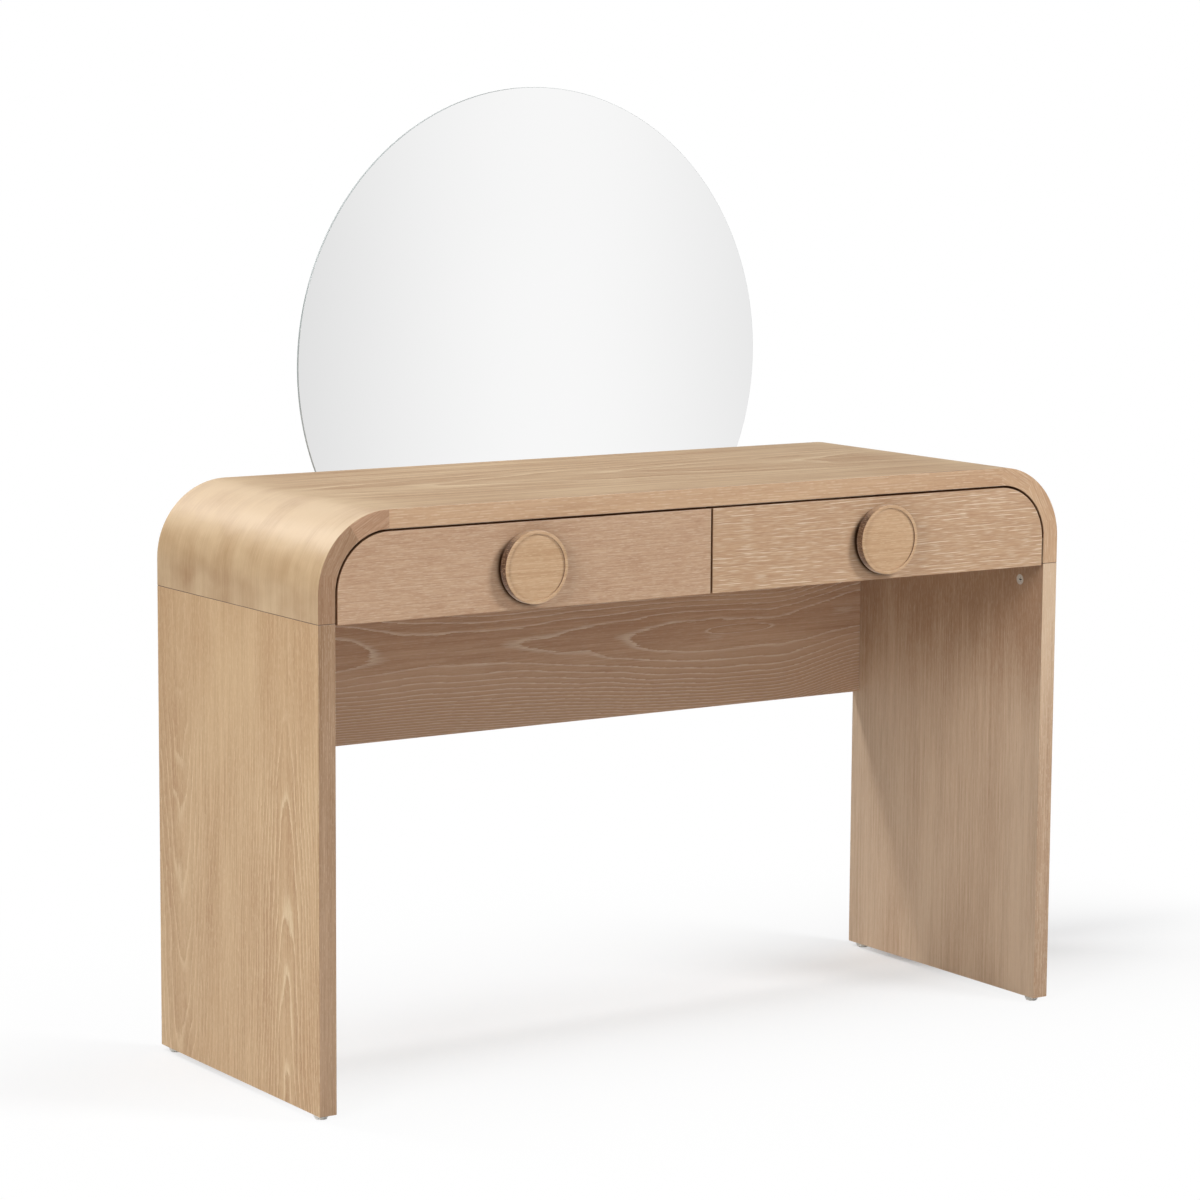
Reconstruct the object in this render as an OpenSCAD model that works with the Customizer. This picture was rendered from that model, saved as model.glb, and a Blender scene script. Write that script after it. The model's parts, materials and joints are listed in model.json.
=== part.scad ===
// Vanity desk with two drawers under a waterfall top and a round frameless mirror behind it.
// Millimetres. X runs across the desk, Y from the drawer fronts to the mirror, Z up from the floor.
// The origin is on the floor, in the middle of the space that the whole desk takes.

/* [Desk] */
// Width over the two leg panels
desk_w = 1200; // [1000:10:1600]
// Depth of the top and of the legs
desk_d = 436; // [420:1:560]
// Height of the top surface above the floor
desk_h = 777; // [720:1:820]
// Thickness of the top, of its curved corners and of the legs
panel_t = 25; // [22:1:28]
// Inner radius of the two curved corners
corner_r = 78; // [60:1:79]
// Height of the top shell, from its surface down to the seam with the legs
shell_h = 140; // [138:1:180]
// Thickness of the back panel
back_t = 16; // [15:1:19]
// Height of the back panel, from the underside of the top down
back_h = 356; // [300:1:560]
// Thickness of the partition between the drawers
partition_t = 18; // [16:1:22]
// Clearance round a panel that fits between others
panel_fit = 0.2; // [0.1:0.05:0.3]

/* [Drawers] */
// Gap between the drawer fronts and the shell round them
reveal = 3; // [2:0.5:5]
// Gap between the two drawer fronts
centre_gap = 3; // [2:0.5:5]
// How far the drawer fronts reach below the seam
front_below = 2; // [0:0.5:5]
// Thickness of the drawer fronts
front_t = 18; // [16:1:22]
// Gap between a closed drawer front and the partition behind it
bumper_gap = 2; // [1:0.5:3]
// Thickness of the drawer box's four walls
box_wall = 12; // [11:0.5:15]
// Height of the drawer box's walls
box_h = 58; // [50:1:66]
// Height of the drawer box above the seam
box_lift = 5; // [2:0.5:6]
// How far the screws of a drawer front reach into it
front_screw_bite = 12; // [8:1:13]
// Length that the drawer box has beyond its runners
box_extra = 5; // [3:1:10]
// Thickness of the drawer floor
floor_t = 5; // [4:0.5:6]
// Height of the drawer floor's groove above the box's lower edge. The runners' screws pass above it
groove_up = 5.5; // [4:0.5:5.5]
// Depth of the drawer floor's groove
groove_deep = 6; // [4:0.5:7]

/* [Knobs] */
// Diameter of a knob
knob_d = 96; // [70:1:100]
// Thickness of a knob
knob_t = 13; // [12:0.5:18]
// Width of the raised rim round a knob's face
knob_rim = 5; // [3:0.5:8]
// Depth of a knob's face below its rim
knob_recess = 2.5; // [1:0.5:3]
// Diameter of the hub behind a knob
knob_hub_d = 40; // [34:1:60]
// Thickness of the hub, the shadow gap behind a knob
knob_hub_t = 4; // [3:0.5:12]
// How far a knob's centre sits below the middle of its drawer front
knob_drop = 1; // [0:0.5:8]
// Distance between a knob's two screws
knob_screw_pitch = 24; // [20:1:26]

/* [Runners] */
// Length of the drawer runners
runner_l = 350; // [300:10:350]
// Width of a runner, between the case and the drawer box
runner_w = 12.7; // [12.5:0.1:14]
// Height of a runner
runner_h = 32; // [30:0.5:34]
// Thickness of the runner's steel
runner_sheet = 1.2; // [1:0.1:1.4]
// Running clearance between the members of a runner
runner_play = 0.4; // [0.3:0.05:0.6]
// Room for the screw heads behind a runner's middle member
runner_room = 2.4; // [2.2:0.1:2.6]
// Distance from a runner's end to its first screw
runner_screw_inset = 35; // [20:1:80]

/* [Panel fittings] */
// Diameter of a cam lock
cam_d = 15; // [14:0.5:18]
// Distance from the desk's front edge to the cam lock of a leg
cam_inset = 50; // [40:1:80]
// Distance from the seam down to the cam lock of a leg
cam_drop = 28; // [22:1:40]
// Distance from the end of the back panel to its cam locks
back_cam_inset = 34; // [24:1:40]
// Diameter of a cam lock's pin
pin_d = 6.8; // [6:0.1:7.4]
// Diameter of the pin's screwed end
pin_thread_d = 5; // [4:0.1:6]
// Length of the pin's screwed end
pin_bite = 11; // [9:0.5:13]
// Diameter of a wooden dowel
dowel_d = 8; // [6:0.5:10]
// How far a dowel reaches into each of its two panels
dowel_bite = 14; // [10:0.5:18]
// Wood left over the partition's dowels in the top
dowel_cover = 11; // [8:0.5:13]
// Radial clearance of what sits in a bore
bore_play = 0.05; // [0.02:0.01:0.1]

/* [Glides] */
// Height of the glides under the legs
glide_h = 7; // [5:0.5:15]
// Diameter of a glide
glide_d = 19; // [15:0.5:22]
// How far a glide's foot is drawn in from its edge
glide_taper = 2; // [1:0.25:3]
// Height of a glide's tapered foot
glide_taper_h = 4; // [2:0.5:4.5]
// Distance from the front or rear edge of a leg to its glide's centre
glide_inset = 19; // [15:1:60]
// Diameter of a glide's nail
nail_d = 2.4; // [2:0.1:3]
// Length of a glide's nail inside the leg
nail_bite = 14; // [10:0.5:20]

/* [Mirror] */
// Diameter of the mirror
mirror_d = 764; // [640:2:900]
// Thickness of the mirror glass
mirror_t = 4; // [3:0.5:6]
// Height of the mirror's centre above the desk top
mirror_rise = 141; // [100:1:220]
// Gap between the desk's rear face and the glass
mirror_gap = 2; // [1:0.5:6]
// Thickness of the adhesive strips behind the glass
tape_t = 1; // [0.8:0.1:2]
// Width of an adhesive strip
tape_w = 30; // [15:1:50]
// Distance between the middles of two adhesive strips
tape_pitch = 135; // [80:5:135]
// Thickness of the backing board
backing_t = 12; // [12:0.5:18]
// Distance from the edge of the glass in to the edge of the backing board
backing_inset = 60; // [20:1:90]
// Width of an upright
upright_w = 50; // [40:1:70]
// Thickness of an upright
upright_t = 18; // [16:1:25]
// Distance between the middles of the two uprights
upright_pitch = 300; // [220:5:400]
// Diameter of the bolts that hold the uprights
bolt_d = 6; // [5:0.5:8]
// How far a bolt reaches into the back panel
bolt_bite = 11; // [9:0.5:12]

/* [Hidden] */
$fn = 96;
// Finishes
veneer = [0.78, 0.66, 0.52];
veneer_inside = [0.74, 0.62, 0.48];
box_board = [0.80, 0.70, 0.56];
beech = [0.82, 0.68, 0.48];
zinc = [0.72, 0.72, 0.73];
brass = [0.80, 0.66, 0.36];
nylon = [0.90, 0.90, 0.88];
silver = [0.86, 0.88, 0.90];
backing_grey = [0.42, 0.40, 0.38];
// A cut reaches this far past the face that it opens, and a blind bore past what sits in it
cut = 1;
bore_end = 0.5;
// Drive recess, pan head and hexagon socket of the screws, as shares of the head or in millimetres
drive_w = 0.5;
drive_deep = 0.6;
drive_arm = 0.11;
pan_top = 0.8;
hex_d = 4.6;
hex_deep = 2.5;
// Depth that the knobs and the mirror add to the desk, and the planes of the desk's two faces
knob_proud = knob_hub_t + knob_t;
spacer_t = mirror_gap + mirror_t + tape_t + backing_t;
total_d = knob_proud + desk_d + spacer_t + upright_t;
front_y = knob_proud - total_d / 2;
rear_y = front_y + desk_d;
back_y = rear_y - back_t;
// Heights of the top, its underside, the seam and the back panel's lower edge
under_z = desk_h - panel_t;
seam_z = desk_h - shell_h;
back_z = under_z - back_h;
// Inner face of a leg, middle of its thickness, and height of the straight wall above the seam
inner_x = desk_w / 2 - panel_t;
mid_x = desk_w / 2 - panel_t / 2;
straight_h = under_z - corner_r - seam_z;
// Fittings that join the panels
cam_y = front_y + cam_inset;
dowel_ys = [for (k = [1 : 3]) cam_y + k * (desk_d - 2 * cam_inset) / 3];
cam_behind = 4.3;
cam_sunk = 0.2;
cam_recess = 2.2;
cam_room = 1;
cam_slot = 3.6;
pin_head_d = 6.2;
pin_neck_d = 3.8;
pin_head_l = 1.2;
pin_neck_out = 0.5;
back_pin_edge = 50;
runner_z = seam_z + straight_h / 2;
back_pin_zs = [back_z + back_pin_edge, seam_z - back_pin_edge, runner_z];
back_pin_y = rear_y - back_t / 2;
// Partition between the drawers
partition_y = front_y + front_t + bumper_gap;
partition_dowel_edge = 60;
partition_dowel_ys = [partition_y + partition_dowel_edge, back_y - partition_dowel_edge];
top_dowel_bite = panel_t - dowel_cover;
partition_screw_edge = 30;
partition_screw_zs = [seam_z + partition_screw_edge, under_z - partition_screw_edge];
partition_screw_d = 5;
partition_screw_head_d = 10;
partition_screw_head_h = 3;
partition_screw_l = 50;
// Runners
rail_y = front_y + front_t + bumper_gap;
rail_screw_ys = [for (k = [0 : 2])
    rail_y + runner_screw_inset + k * (runner_l - 2 * runner_screw_inset) / 2];
rail_screw_d = 3;
rail_screw_head_d = 6.4;
rail_screw_head_h = 1.6;
rail_screw_bite = 7;
driver_room = 0.8;
middle_half_h = runner_h / 2 - runner_sheet - runner_play;
drawer_half_h = middle_half_h - runner_sheet - runner_play;
middle_u = runner_sheet + runner_room;
rail_lip = 1.4;
// Drawer box, from the partition's side to the leg's side
box_x0 = partition_t / 2 + runner_w;
box_x1 = inner_x - runner_w;
box_y0 = front_y + front_t;
box_y1 = rail_y + runner_l + box_extra - bumper_gap;
box_z0 = seam_z + box_lift;
box_z1 = box_z0 + box_h;
groove_fit = 0.15;
groove_h = floor_t + 2 * groove_fit;
floor_gap = 0.5;
floor_reach = groove_deep - floor_gap;
box_screw_d = 3.5;
box_screw_l = 32;
box_screw_head_d = 7;
box_screw_head_h = 2.2;
box_screw_edge = 10;
box_screw_pitch = 15;
box_screw_zs = [box_z1 - box_screw_edge, box_z1 - box_screw_edge - box_screw_pitch];
front_screw_d = 4;
front_screw_l = box_wall + front_screw_bite;
front_screw_head_d = 8;
front_screw_head_h = 2.5;
front_screw_edge = 60;
front_screw_xs = [box_x0 + front_screw_edge, box_x1 - front_screw_edge];
front_screw_rise = 7;
front_screw_zs = [box_z0 + groove_up + floor_t + front_screw_rise, box_z1 - box_screw_edge];
// Knobs
front_z0 = seam_z - front_below;
front_z1 = under_z - reveal;
knob_x = (centre_gap / 2 + inner_x - reveal) / 2;
knob_z = (front_z0 + front_z1) / 2 - knob_drop;
knob_screw_d = 4;
knob_screw_bite = 8;
knob_screw_head_d = 8;
knob_screw_head_h = 2.6;
// Glides
glide_ys = [front_y + glide_inset, rear_y - glide_inset];
nail_head_d = 5.5;
nail_head_room = 0.2;
nail_head_h = 1.5;
nail_head_up = 1;
// Mirror
mirror_z = desk_h + mirror_rise;
glass_y = rear_y + mirror_gap;
backing_y = glass_y + mirror_t + tape_t;
upright_y = backing_y + backing_t;
backing_r = mirror_d / 2 - backing_inset;
upright_x = upright_pitch / 2;
upright_low = 14;
upright_z0 = back_z + upright_low;
upright_short = 60;
upright_z1 = mirror_z + chord(backing_r, upright_x + upright_w / 2) - upright_short;
spacer_clear = 8;
spacer_z1 = mirror_z - chord(mirror_d / 2, upright_x - upright_w / 2) - spacer_clear;
bolt_edge = 22;
bolt_zs = [upright_z0 + bolt_edge, spacer_z1 - bolt_edge];
bolt_head_d = 13;
bolt_head_h = 3.5;
sleeve_d = 10;
sleeve_l = bolt_bite + 2;
mirror_screw_d = 4;
mirror_screw_head_d = 8;
mirror_screw_head_h = 2.5;
mirror_screw_bite = 9;
mirror_screw_edge = 40;
mirror_screw_span = chord(backing_r, upright_x) - mirror_screw_edge;
mirror_screw_zs = [for (k = [0 : 3])
    mirror_z - mirror_screw_span + k * (upright_z1 - upright_w - mirror_z + mirror_screw_span) / 3];
tape_xs = [for (k = [-1.5 : 1.5]) k * tape_pitch];
tape_short = 30;

// Half the length of a chord that runs at a distance x from the middle of a circle
function chord(r, x) = sqrt(r * r - x * x);

// Extrudes a shape drawn in X and Z from y0 to y1
module extrude_y(y0, y1) {
    translate([0, y1, 0]) rotate([90, 0, 0]) linear_extrude(y1 - y0) children();
}

// Turns what stands on the XY plane to run along X, Y or -Y
module along_x() rotate([0, 90, 0]) children();
module along_y() rotate([-90, 0, 0]) children();
module against_y() rotate([90, 0, 0]) children();

// Copies a piece of the right half for the left half
module on_side(s) {
    if (s < 0) mirror([1, 0, 0]) children();
    else children();
}

// Box given by its lowest and highest corners
module block(low, high) {
    translate(low) cube(high - low);
}

// Upright outline with two round upper corners
module arch(half_w, bottom, top, r) {
    translate([-half_w, bottom]) square([2 * half_w, top - r - bottom]);
    translate([r - half_w, bottom]) square([2 * (half_w - r), top - bottom]);
    for (s = [-1, 1]) intersection() {
        translate([s * (half_w - r), top - r]) circle(r);
        translate([-half_w, top - r]) square([2 * half_w, r]);
    }
}

// Countersunk screw, its head's face at the origin and its point along -Z. A play makes the bore for it
module flat_screw(d, l, head_d, head_h, play = 0) {
    translate([0, 0, -l - play]) cylinder(d = d + 2 * play, h = l + play);
    translate([0, 0, -head_h]) cylinder(d1 = d + 2 * play, d2 = head_d + 2 * play, h = head_h);
    if (play > 0) cylinder(d = head_d + 2 * play, h = cut);
}

// Cross-head screw with a recess cut into its countersunk head
module cross_screw(d, l, head_d, head_h) {
    difference() {
        flat_screw(d, l, head_d, head_h);
        drive_recess(head_d * drive_w, head_h * drive_deep);
    }
}

// Cross-shaped drive recess that opens upwards at the origin
module drive_recess(size, depth) {
    for (a = [0, 90]) rotate(a)
        block([-size / 2, -size * drive_arm, -depth], [size / 2, size * drive_arm, cut]);
}

// Pan-head screw, the underside of its head at the origin, its point along -Z
module pan_screw(d, l, head_d, head_h) {
    difference() {
        union() {
            translate([0, 0, -l]) cylinder(d = d, h = l);
            cylinder(d1 = head_d, d2 = head_d * pan_top, h = head_h);
        }
        translate([0, 0, head_h]) drive_recess(head_d * drive_w, head_h * drive_deep);
    }
}

// Cam lock in a bore of a panel's face, which is at the origin. Its pin comes from +Y at the given depth
module cam(depth) {
    difference() {
        translate([0, 0, -depth - cam_behind])
            cylinder(d = cam_d - 2 * bore_play, h = depth + cam_behind - cam_sunk);
        drive_recess(cam_d * drive_w, cam_recess);
        translate([0, -cam_slot, -depth]) along_y() cylinder(d = pin_head_d + cam_room, h = 2 * cam_slot);
        translate([0, 0, -depth]) along_y() cylinder(d = pin_neck_d + cam_room, h = cam_d);
    }
}

module cam_bore(depth) {
    translate([0, 0, -depth - cam_behind - bore_end])
        cylinder(d = cam_d, h = depth + cam_behind + bore_end + cut);
}

// Cam lock's pin from the cam's middle along +Y: reach is the distance to the other panel's face
module cam_pin(reach) {
    neck_end = cam_d / 2 + pin_neck_out;
    translate([0, -pin_head_l, 0]) along_y() cylinder(d = pin_head_d, h = 2 * pin_head_l);
    along_y() cylinder(d = pin_neck_d, h = neck_end);
    translate([0, neck_end, 0]) along_y() cylinder(d = pin_d, h = reach - neck_end);
    translate([0, reach, 0]) along_y() cylinder(d = pin_thread_d, h = pin_bite);
}

// Places its children at the cam lock of the right leg, face outwards along +Z and pin towards +Y
module at_leg_cam() {
    translate([inner_x, cam_y, seam_z - cam_drop]) rotate([0, -90, 0]) rotate(-90) children();
}

// Places its children at each cam lock in the right end of the back panel's rear face
module at_back_cams() {
    for (z = back_pin_zs)
        translate([inner_x - panel_fit - back_cam_inset, rear_y, z])
            rotate([-90, 0, 0]) rotate(-90) children();
}

// Bores of the pins that hold the back panel, in the right leg and in the shell above it
module back_pin_bores() {
    for (z = back_pin_zs)
        translate([inner_x - cut, back_pin_y, z]) along_x()
            cylinder(d = pin_thread_d + 2 * bore_play, h = pin_bite + cut + bore_end);
}

// Bores of the runner's screws in the face at x, into the wood along the direction given
module rail_bores(x, direction) {
    for (y = rail_screw_ys)
        translate([x, y, runner_z]) rotate([0, 90 * direction, 0]) translate([0, 0, -cut])
            cylinder(d = rail_screw_d + 2 * bore_play, h = rail_screw_bite + cut + bore_end);
}

// The curved top with its two short sides
module top_shell() color(veneer) {
    difference() {
        extrude_y(front_y, rear_y) difference() {
            arch(desk_w / 2, seam_z, desk_h, corner_r + panel_t);
            arch(inner_x, seam_z - cut, under_z, corner_r);
        }
        for (s = [-1, 1]) on_side(s) {
            for (y = dowel_ys)
                translate([mid_x, y, seam_z - cut])
                    cylinder(d = dowel_d + 2 * bore_play, h = dowel_bite + cut + bore_end);
            translate([mid_x, cam_y, seam_z - cut])
                cylinder(d = pin_thread_d + 2 * bore_play, h = pin_bite + cut + bore_end);
            back_pin_bores();
            rail_bores(inner_x, 1);
        }
        for (y = partition_dowel_ys)
            translate([0, y, under_z - cut])
                cylinder(d = dowel_d + 2 * bore_play, h = top_dowel_bite + cut + bore_end);
    }
}

// Leg panel of the right side, under the seam
module leg() {
    difference() {
        block([inner_x, front_y, glide_h], [desk_w / 2, rear_y, seam_z]);
        at_leg_cam() cam_bore(panel_t / 2);
        translate([mid_x, cam_y, seam_z - cam_drop])
            cylinder(d = pin_d + 2 * bore_play, h = cam_drop + cut);
        for (y = dowel_ys)
            translate([mid_x, y, seam_z - dowel_bite - bore_end])
                cylinder(d = dowel_d + 2 * bore_play, h = dowel_bite + bore_end + cut);
        back_pin_bores();
        for (y = glide_ys)
            translate([mid_x, y, glide_h - cut])
                cylinder(d = nail_d + 2 * bore_play, h = nail_bite + cut + bore_end);
    }
}

module left_leg() color(veneer) on_side(-1) leg();
module right_leg() color(veneer) on_side(1) leg();

// Back panel between the legs, under the top
module back_panel() color(veneer_inside) {
    difference() {
        extrude_y(back_y, rear_y)
            arch(inner_x - panel_fit, back_z, under_z - panel_fit, corner_r - panel_fit);
        for (s = [-1, 1]) on_side(s) {
            at_back_cams() {
                cam_bore(back_t / 2);
                translate([0, 0, -back_t / 2]) along_y()
                    cylinder(d = pin_d + 2 * bore_play, h = back_cam_inset + cut);
            }
            for (z = bolt_zs)
                translate([upright_x, rear_y - sleeve_l - bore_end, z]) along_y()
                    cylinder(d = sleeve_d + 2 * bore_play, h = sleeve_l + bore_end + cut);
        }
        for (z = partition_screw_zs)
            translate([0, rear_y, z]) along_y() partition_screw_bore();
    }
}

module partition_screw_bore() {
    flat_screw(partition_screw_d, partition_screw_l, partition_screw_head_d, partition_screw_head_h,
               bore_play);
}

// Partition that hangs under the top between the drawers
module centre_partition() color(veneer_inside) {
    difference() {
        block([-partition_t / 2, partition_y, seam_z], [partition_t / 2, back_y, under_z]);
        for (y = partition_dowel_ys)
            translate([0, y, under_z - dowel_bite - bore_end])
                cylinder(d = dowel_d + 2 * bore_play, h = dowel_bite + bore_end + cut);
        for (z = partition_screw_zs)
            translate([0, rear_y, z]) along_y() partition_screw_bore();
        for (s = [-1, 1]) rail_bores(s * partition_t / 2, -s);
    }
}

// Dowels that locate the legs under the shell and the partition under the top
module wood_dowels() color(beech) {
    for (s = [-1, 1], y = dowel_ys)
        translate([s * mid_x, y, seam_z - dowel_bite]) cylinder(d = dowel_d, h = 2 * dowel_bite);
    for (y = partition_dowel_ys)
        translate([0, y, under_z - dowel_bite]) cylinder(d = dowel_d, h = dowel_bite + top_dowel_bite);
}

// Steel pins of the cam locks, in the legs and in the back panel
module cam_pins() color(zinc) {
    for (s = [-1, 1]) on_side(s) {
        at_leg_cam() translate([0, 0, -panel_t / 2]) cam_pin(cam_drop);
        at_back_cams() translate([0, 0, -back_t / 2]) cam_pin(back_cam_inset + panel_fit);
    }
}

// Cam locks in the inner faces of the legs and in the rear face of the back panel
module cam_locks() color(zinc) {
    for (s = [-1, 1]) on_side(s) {
        at_leg_cam() cam(panel_t / 2);
        at_back_cams() cam(back_t / 2);
    }
}

// Screws through the back panel into the partition
module partition_screws() color(zinc) {
    for (z = partition_screw_zs)
        translate([0, rear_y, z]) along_y()
            cross_screw(partition_screw_d, partition_screw_l, partition_screw_head_d, partition_screw_head_h);
}

// Nylon glide under a leg, with the bore of its nail
module glide(s, y) color(nylon) {
    translate([s * mid_x, y, 0]) difference() {
        union() {
            translate([0, 0, glide_taper_h]) cylinder(d = glide_d, h = glide_h - glide_taper_h);
            cylinder(d1 = glide_d - 2 * glide_taper, d2 = glide_d, h = glide_taper_h);
        }
        translate([0, 0, -cut])
            cylinder(d = nail_head_d + 2 * nail_head_room, h = nail_head_up + nail_head_h + cut);
        cylinder(d = nail_d + 2 * bore_play, h = glide_h + cut);
    }
}

module glide_front_left() glide(-1, glide_ys[0]);
module glide_front_right() glide(1, glide_ys[0]);
module glide_rear_left() glide(-1, glide_ys[1]);
module glide_rear_right() glide(1, glide_ys[1]);

module glide_nails() color(zinc) {
    for (s = [-1, 1], y = glide_ys) translate([s * mid_x, y, nail_head_up]) {
        cylinder(d = nail_head_d, h = nail_head_h);
        cylinder(d = nail_d, h = glide_h - nail_head_up + nail_bite);
    }
}

// Outline of a runner's member, with u from the case's wall to the box and v up
module channel(u0, u1, web_u, half_h) {
    translate([web_u, -half_h]) square([runner_sheet, 2 * half_h]);
    for (v = [-half_h, half_h - runner_sheet]) translate([u0, v]) square([u1 - u0, runner_sheet]);
}

module case_profile() channel(0, runner_w - rail_lip, 0, runner_h / 2);
module middle_profile() channel(middle_u, runner_w - rail_lip, middle_u, middle_half_h);
module drawer_profile()
    channel(middle_u + runner_sheet + runner_play, runner_w, runner_w - runner_sheet, drawer_half_h);

// A member of the right drawer's outer or inner runner: its profile runs along Y
module outer_rail() {
    extrude_y(rail_y, rail_y + runner_l) translate([inner_x, runner_z]) mirror([1, 0]) children();
}

module inner_rail() {
    extrude_y(rail_y, rail_y + runner_l) translate([partition_t / 2, runner_z]) children();
}

// Holes of a rail's screws, from x0 to x1
module rail_holes(x0, x1) {
    for (y = rail_screw_ys)
        translate([x0, y, runner_z]) along_x() cylinder(d = rail_screw_d + 2 * bore_play, h = x1 - x0);
}

module case_rail_outer() color(zinc) difference() {
    outer_rail() case_profile();
    rail_holes(inner_x - runner_sheet - cut, inner_x + cut);
}

module case_rail_inner() color(zinc) difference() {
    inner_rail() case_profile();
    rail_holes(partition_t / 2 - cut, partition_t / 2 + runner_sheet + cut);
}

module left_case_rail_outer() on_side(-1) case_rail_outer();
module left_case_rail_inner() on_side(-1) case_rail_inner();
module right_case_rail_inner() on_side(1) case_rail_inner();
module right_case_rail_outer() on_side(1) case_rail_outer();

// Screw of a rail, pointing along X in the direction given, its head's underside at x
module rail_screw(x, y, direction) {
    translate([x, y, runner_z]) rotate([0, -90 * direction, 0])
        pan_screw(rail_screw_d, rail_screw_bite + runner_sheet, rail_screw_head_d, rail_screw_head_h);
}

module case_rail_screws() color(zinc) {
    for (s = [-1, 1], y = rail_screw_ys) on_side(s) {
        rail_screw(inner_x - runner_sheet, y, 1);
        rail_screw(partition_t / 2 + runner_sheet, y, -1);
    }
}

// Middle members of one drawer's two runners. Windows in them let a driver reach the screws
module middle_rails() color(zinc) difference() {
    union() {
        outer_rail() middle_profile();
        inner_rail() middle_profile();
    }
    for (y = rail_screw_ys) translate([0, y, runner_z]) along_x()
        cylinder(d = rail_screw_head_d + 2 * driver_room, h = desk_w / 2);
}

module left_middle_rails() on_side(-1) middle_rails();
module right_middle_rails() on_side(1) middle_rails();

// Drawer members of the two runners
module drawer_rail_outer() color(zinc) difference() {
    outer_rail() drawer_profile();
    rail_holes(box_x1 - cut, box_x1 + runner_sheet + cut);
}

module drawer_rail_inner() color(zinc) difference() {
    inner_rail() drawer_profile();
    rail_holes(box_x0 - runner_sheet - cut, box_x0 + cut);
}

module rail_screws() color(zinc) {
    for (y = rail_screw_ys) {
        rail_screw(box_x1 + runner_sheet, y, -1);
        rail_screw(box_x0 - runner_sheet, y, 1);
    }
}

// Drawer front: it follows the shell's curved corner at the reveal's distance
module drawer_front() color(veneer) difference() {
    extrude_y(front_y, front_y + front_t) intersection() {
        arch(inner_x - reveal, front_z0, front_z1, corner_r - reveal);
        translate([centre_gap / 2, front_z0]) square([desk_w / 2, desk_h]);
    }
    knob_screw_bores();
    at_front_screws() front_screw_bore();
}

// Places its children at the screws from the box into its front, point along -Z
module at_front_screws() {
    for (x = front_screw_xs, z = front_screw_zs)
        translate([x, box_y0 + box_wall, z]) along_y() children();
}

module front_screw_bore() {
    flat_screw(front_screw_d, front_screw_l, front_screw_head_d, front_screw_head_h, bore_play);
}

// Bores of the knob's two screws through the front and the box
module knob_screw_bores() {
    for (s = [-1, 1])
        translate([knob_x + s * knob_screw_pitch / 2, box_y0 + box_wall + cut, knob_z]) against_y()
            cylinder(d = knob_screw_d + 2 * bore_play,
                     h = cut + box_wall + front_t + knob_hub_t + knob_screw_bite + bore_end);
}

// Groove that holds the drawer floor in all four walls
module floor_groove() {
    block([box_x0 + box_wall - groove_deep, box_y0 + box_wall - groove_deep, box_z0 + groove_up],
          [box_x1 - box_wall + groove_deep, box_y1 - box_wall + groove_deep, box_z0 + groove_up + groove_h]);
}

// Places its children at the corner screws: x is the side's outer face and s the way out
module at_box_screws(x, s) {
    for (y = [box_y0 + box_wall / 2, box_y1 - box_wall / 2], z = box_screw_zs)
        translate([x, y, z]) rotate([0, 90 * s, 0]) children();
}

module box_screw_bores() {
    for (end = [[box_x0, -1], [box_x1, 1]]) at_box_screws(end[0], end[1])
        flat_screw(box_screw_d, box_screw_l, box_screw_head_d, box_screw_head_h, bore_play);
}

module box_front() color(box_board) difference() {
    block([box_x0 + box_wall, box_y0, box_z0], [box_x1 - box_wall, box_y0 + box_wall, box_z1]);
    floor_groove();
    box_screw_bores();
    knob_screw_bores();
    at_front_screws() front_screw_bore();
}

module box_back() color(box_board) difference() {
    block([box_x0 + box_wall, box_y1 - box_wall, box_z0], [box_x1 - box_wall, box_y1, box_z1]);
    floor_groove();
    box_screw_bores();
}

module box_side(x) difference() {
    block([x, box_y0, box_z0], [x + box_wall, box_y1, box_z1]);
    floor_groove();
    box_screw_bores();
    rail_bores(box_x0, 1);
    rail_bores(box_x1, -1);
}

module box_outer_side() color(box_board) box_side(box_x1 - box_wall);
module box_inner_side() color(box_board) box_side(box_x0);

module box_floor() color(box_board) {
    block([box_x0 + box_wall - floor_reach, box_y0 + box_wall - floor_reach, box_z0 + groove_up + groove_fit],
          [box_x1 - box_wall + floor_reach, box_y1 - box_wall + floor_reach,
           box_z0 + groove_up + groove_fit + floor_t]);
}

module box_screws() color(zinc) {
    for (end = [[box_x0, -1], [box_x1, 1]]) at_box_screws(end[0], end[1])
        cross_screw(box_screw_d, box_screw_l, box_screw_head_d, box_screw_head_h);
}

module front_screws() color(zinc) {
    at_front_screws() cross_screw(front_screw_d, front_screw_l, front_screw_head_d, front_screw_head_h);
}

// Round wooden knob with a raised rim
module knob() color(veneer) difference() {
    translate([knob_x, front_y - knob_hub_t, knob_z]) against_y() difference() {
        cylinder(d = knob_d, h = knob_t);
        translate([0, 0, knob_t - knob_recess]) cylinder(d = knob_d - 2 * knob_rim, h = knob_recess + cut);
    }
    knob_screw_bores();
}

module knob_hub() color(veneer_inside) difference() {
    translate([knob_x, front_y, knob_z]) against_y() cylinder(d = knob_hub_d, h = knob_hub_t);
    knob_screw_bores();
}

module knob_screws() color(zinc) {
    for (s = [-1, 1])
        translate([knob_x + s * knob_screw_pitch / 2, box_y0 + box_wall, knob_z]) along_y()
            pan_screw(knob_screw_d, box_wall + front_t + knob_hub_t + knob_screw_bite,
                      knob_screw_head_d, knob_screw_head_h);
}

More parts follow.
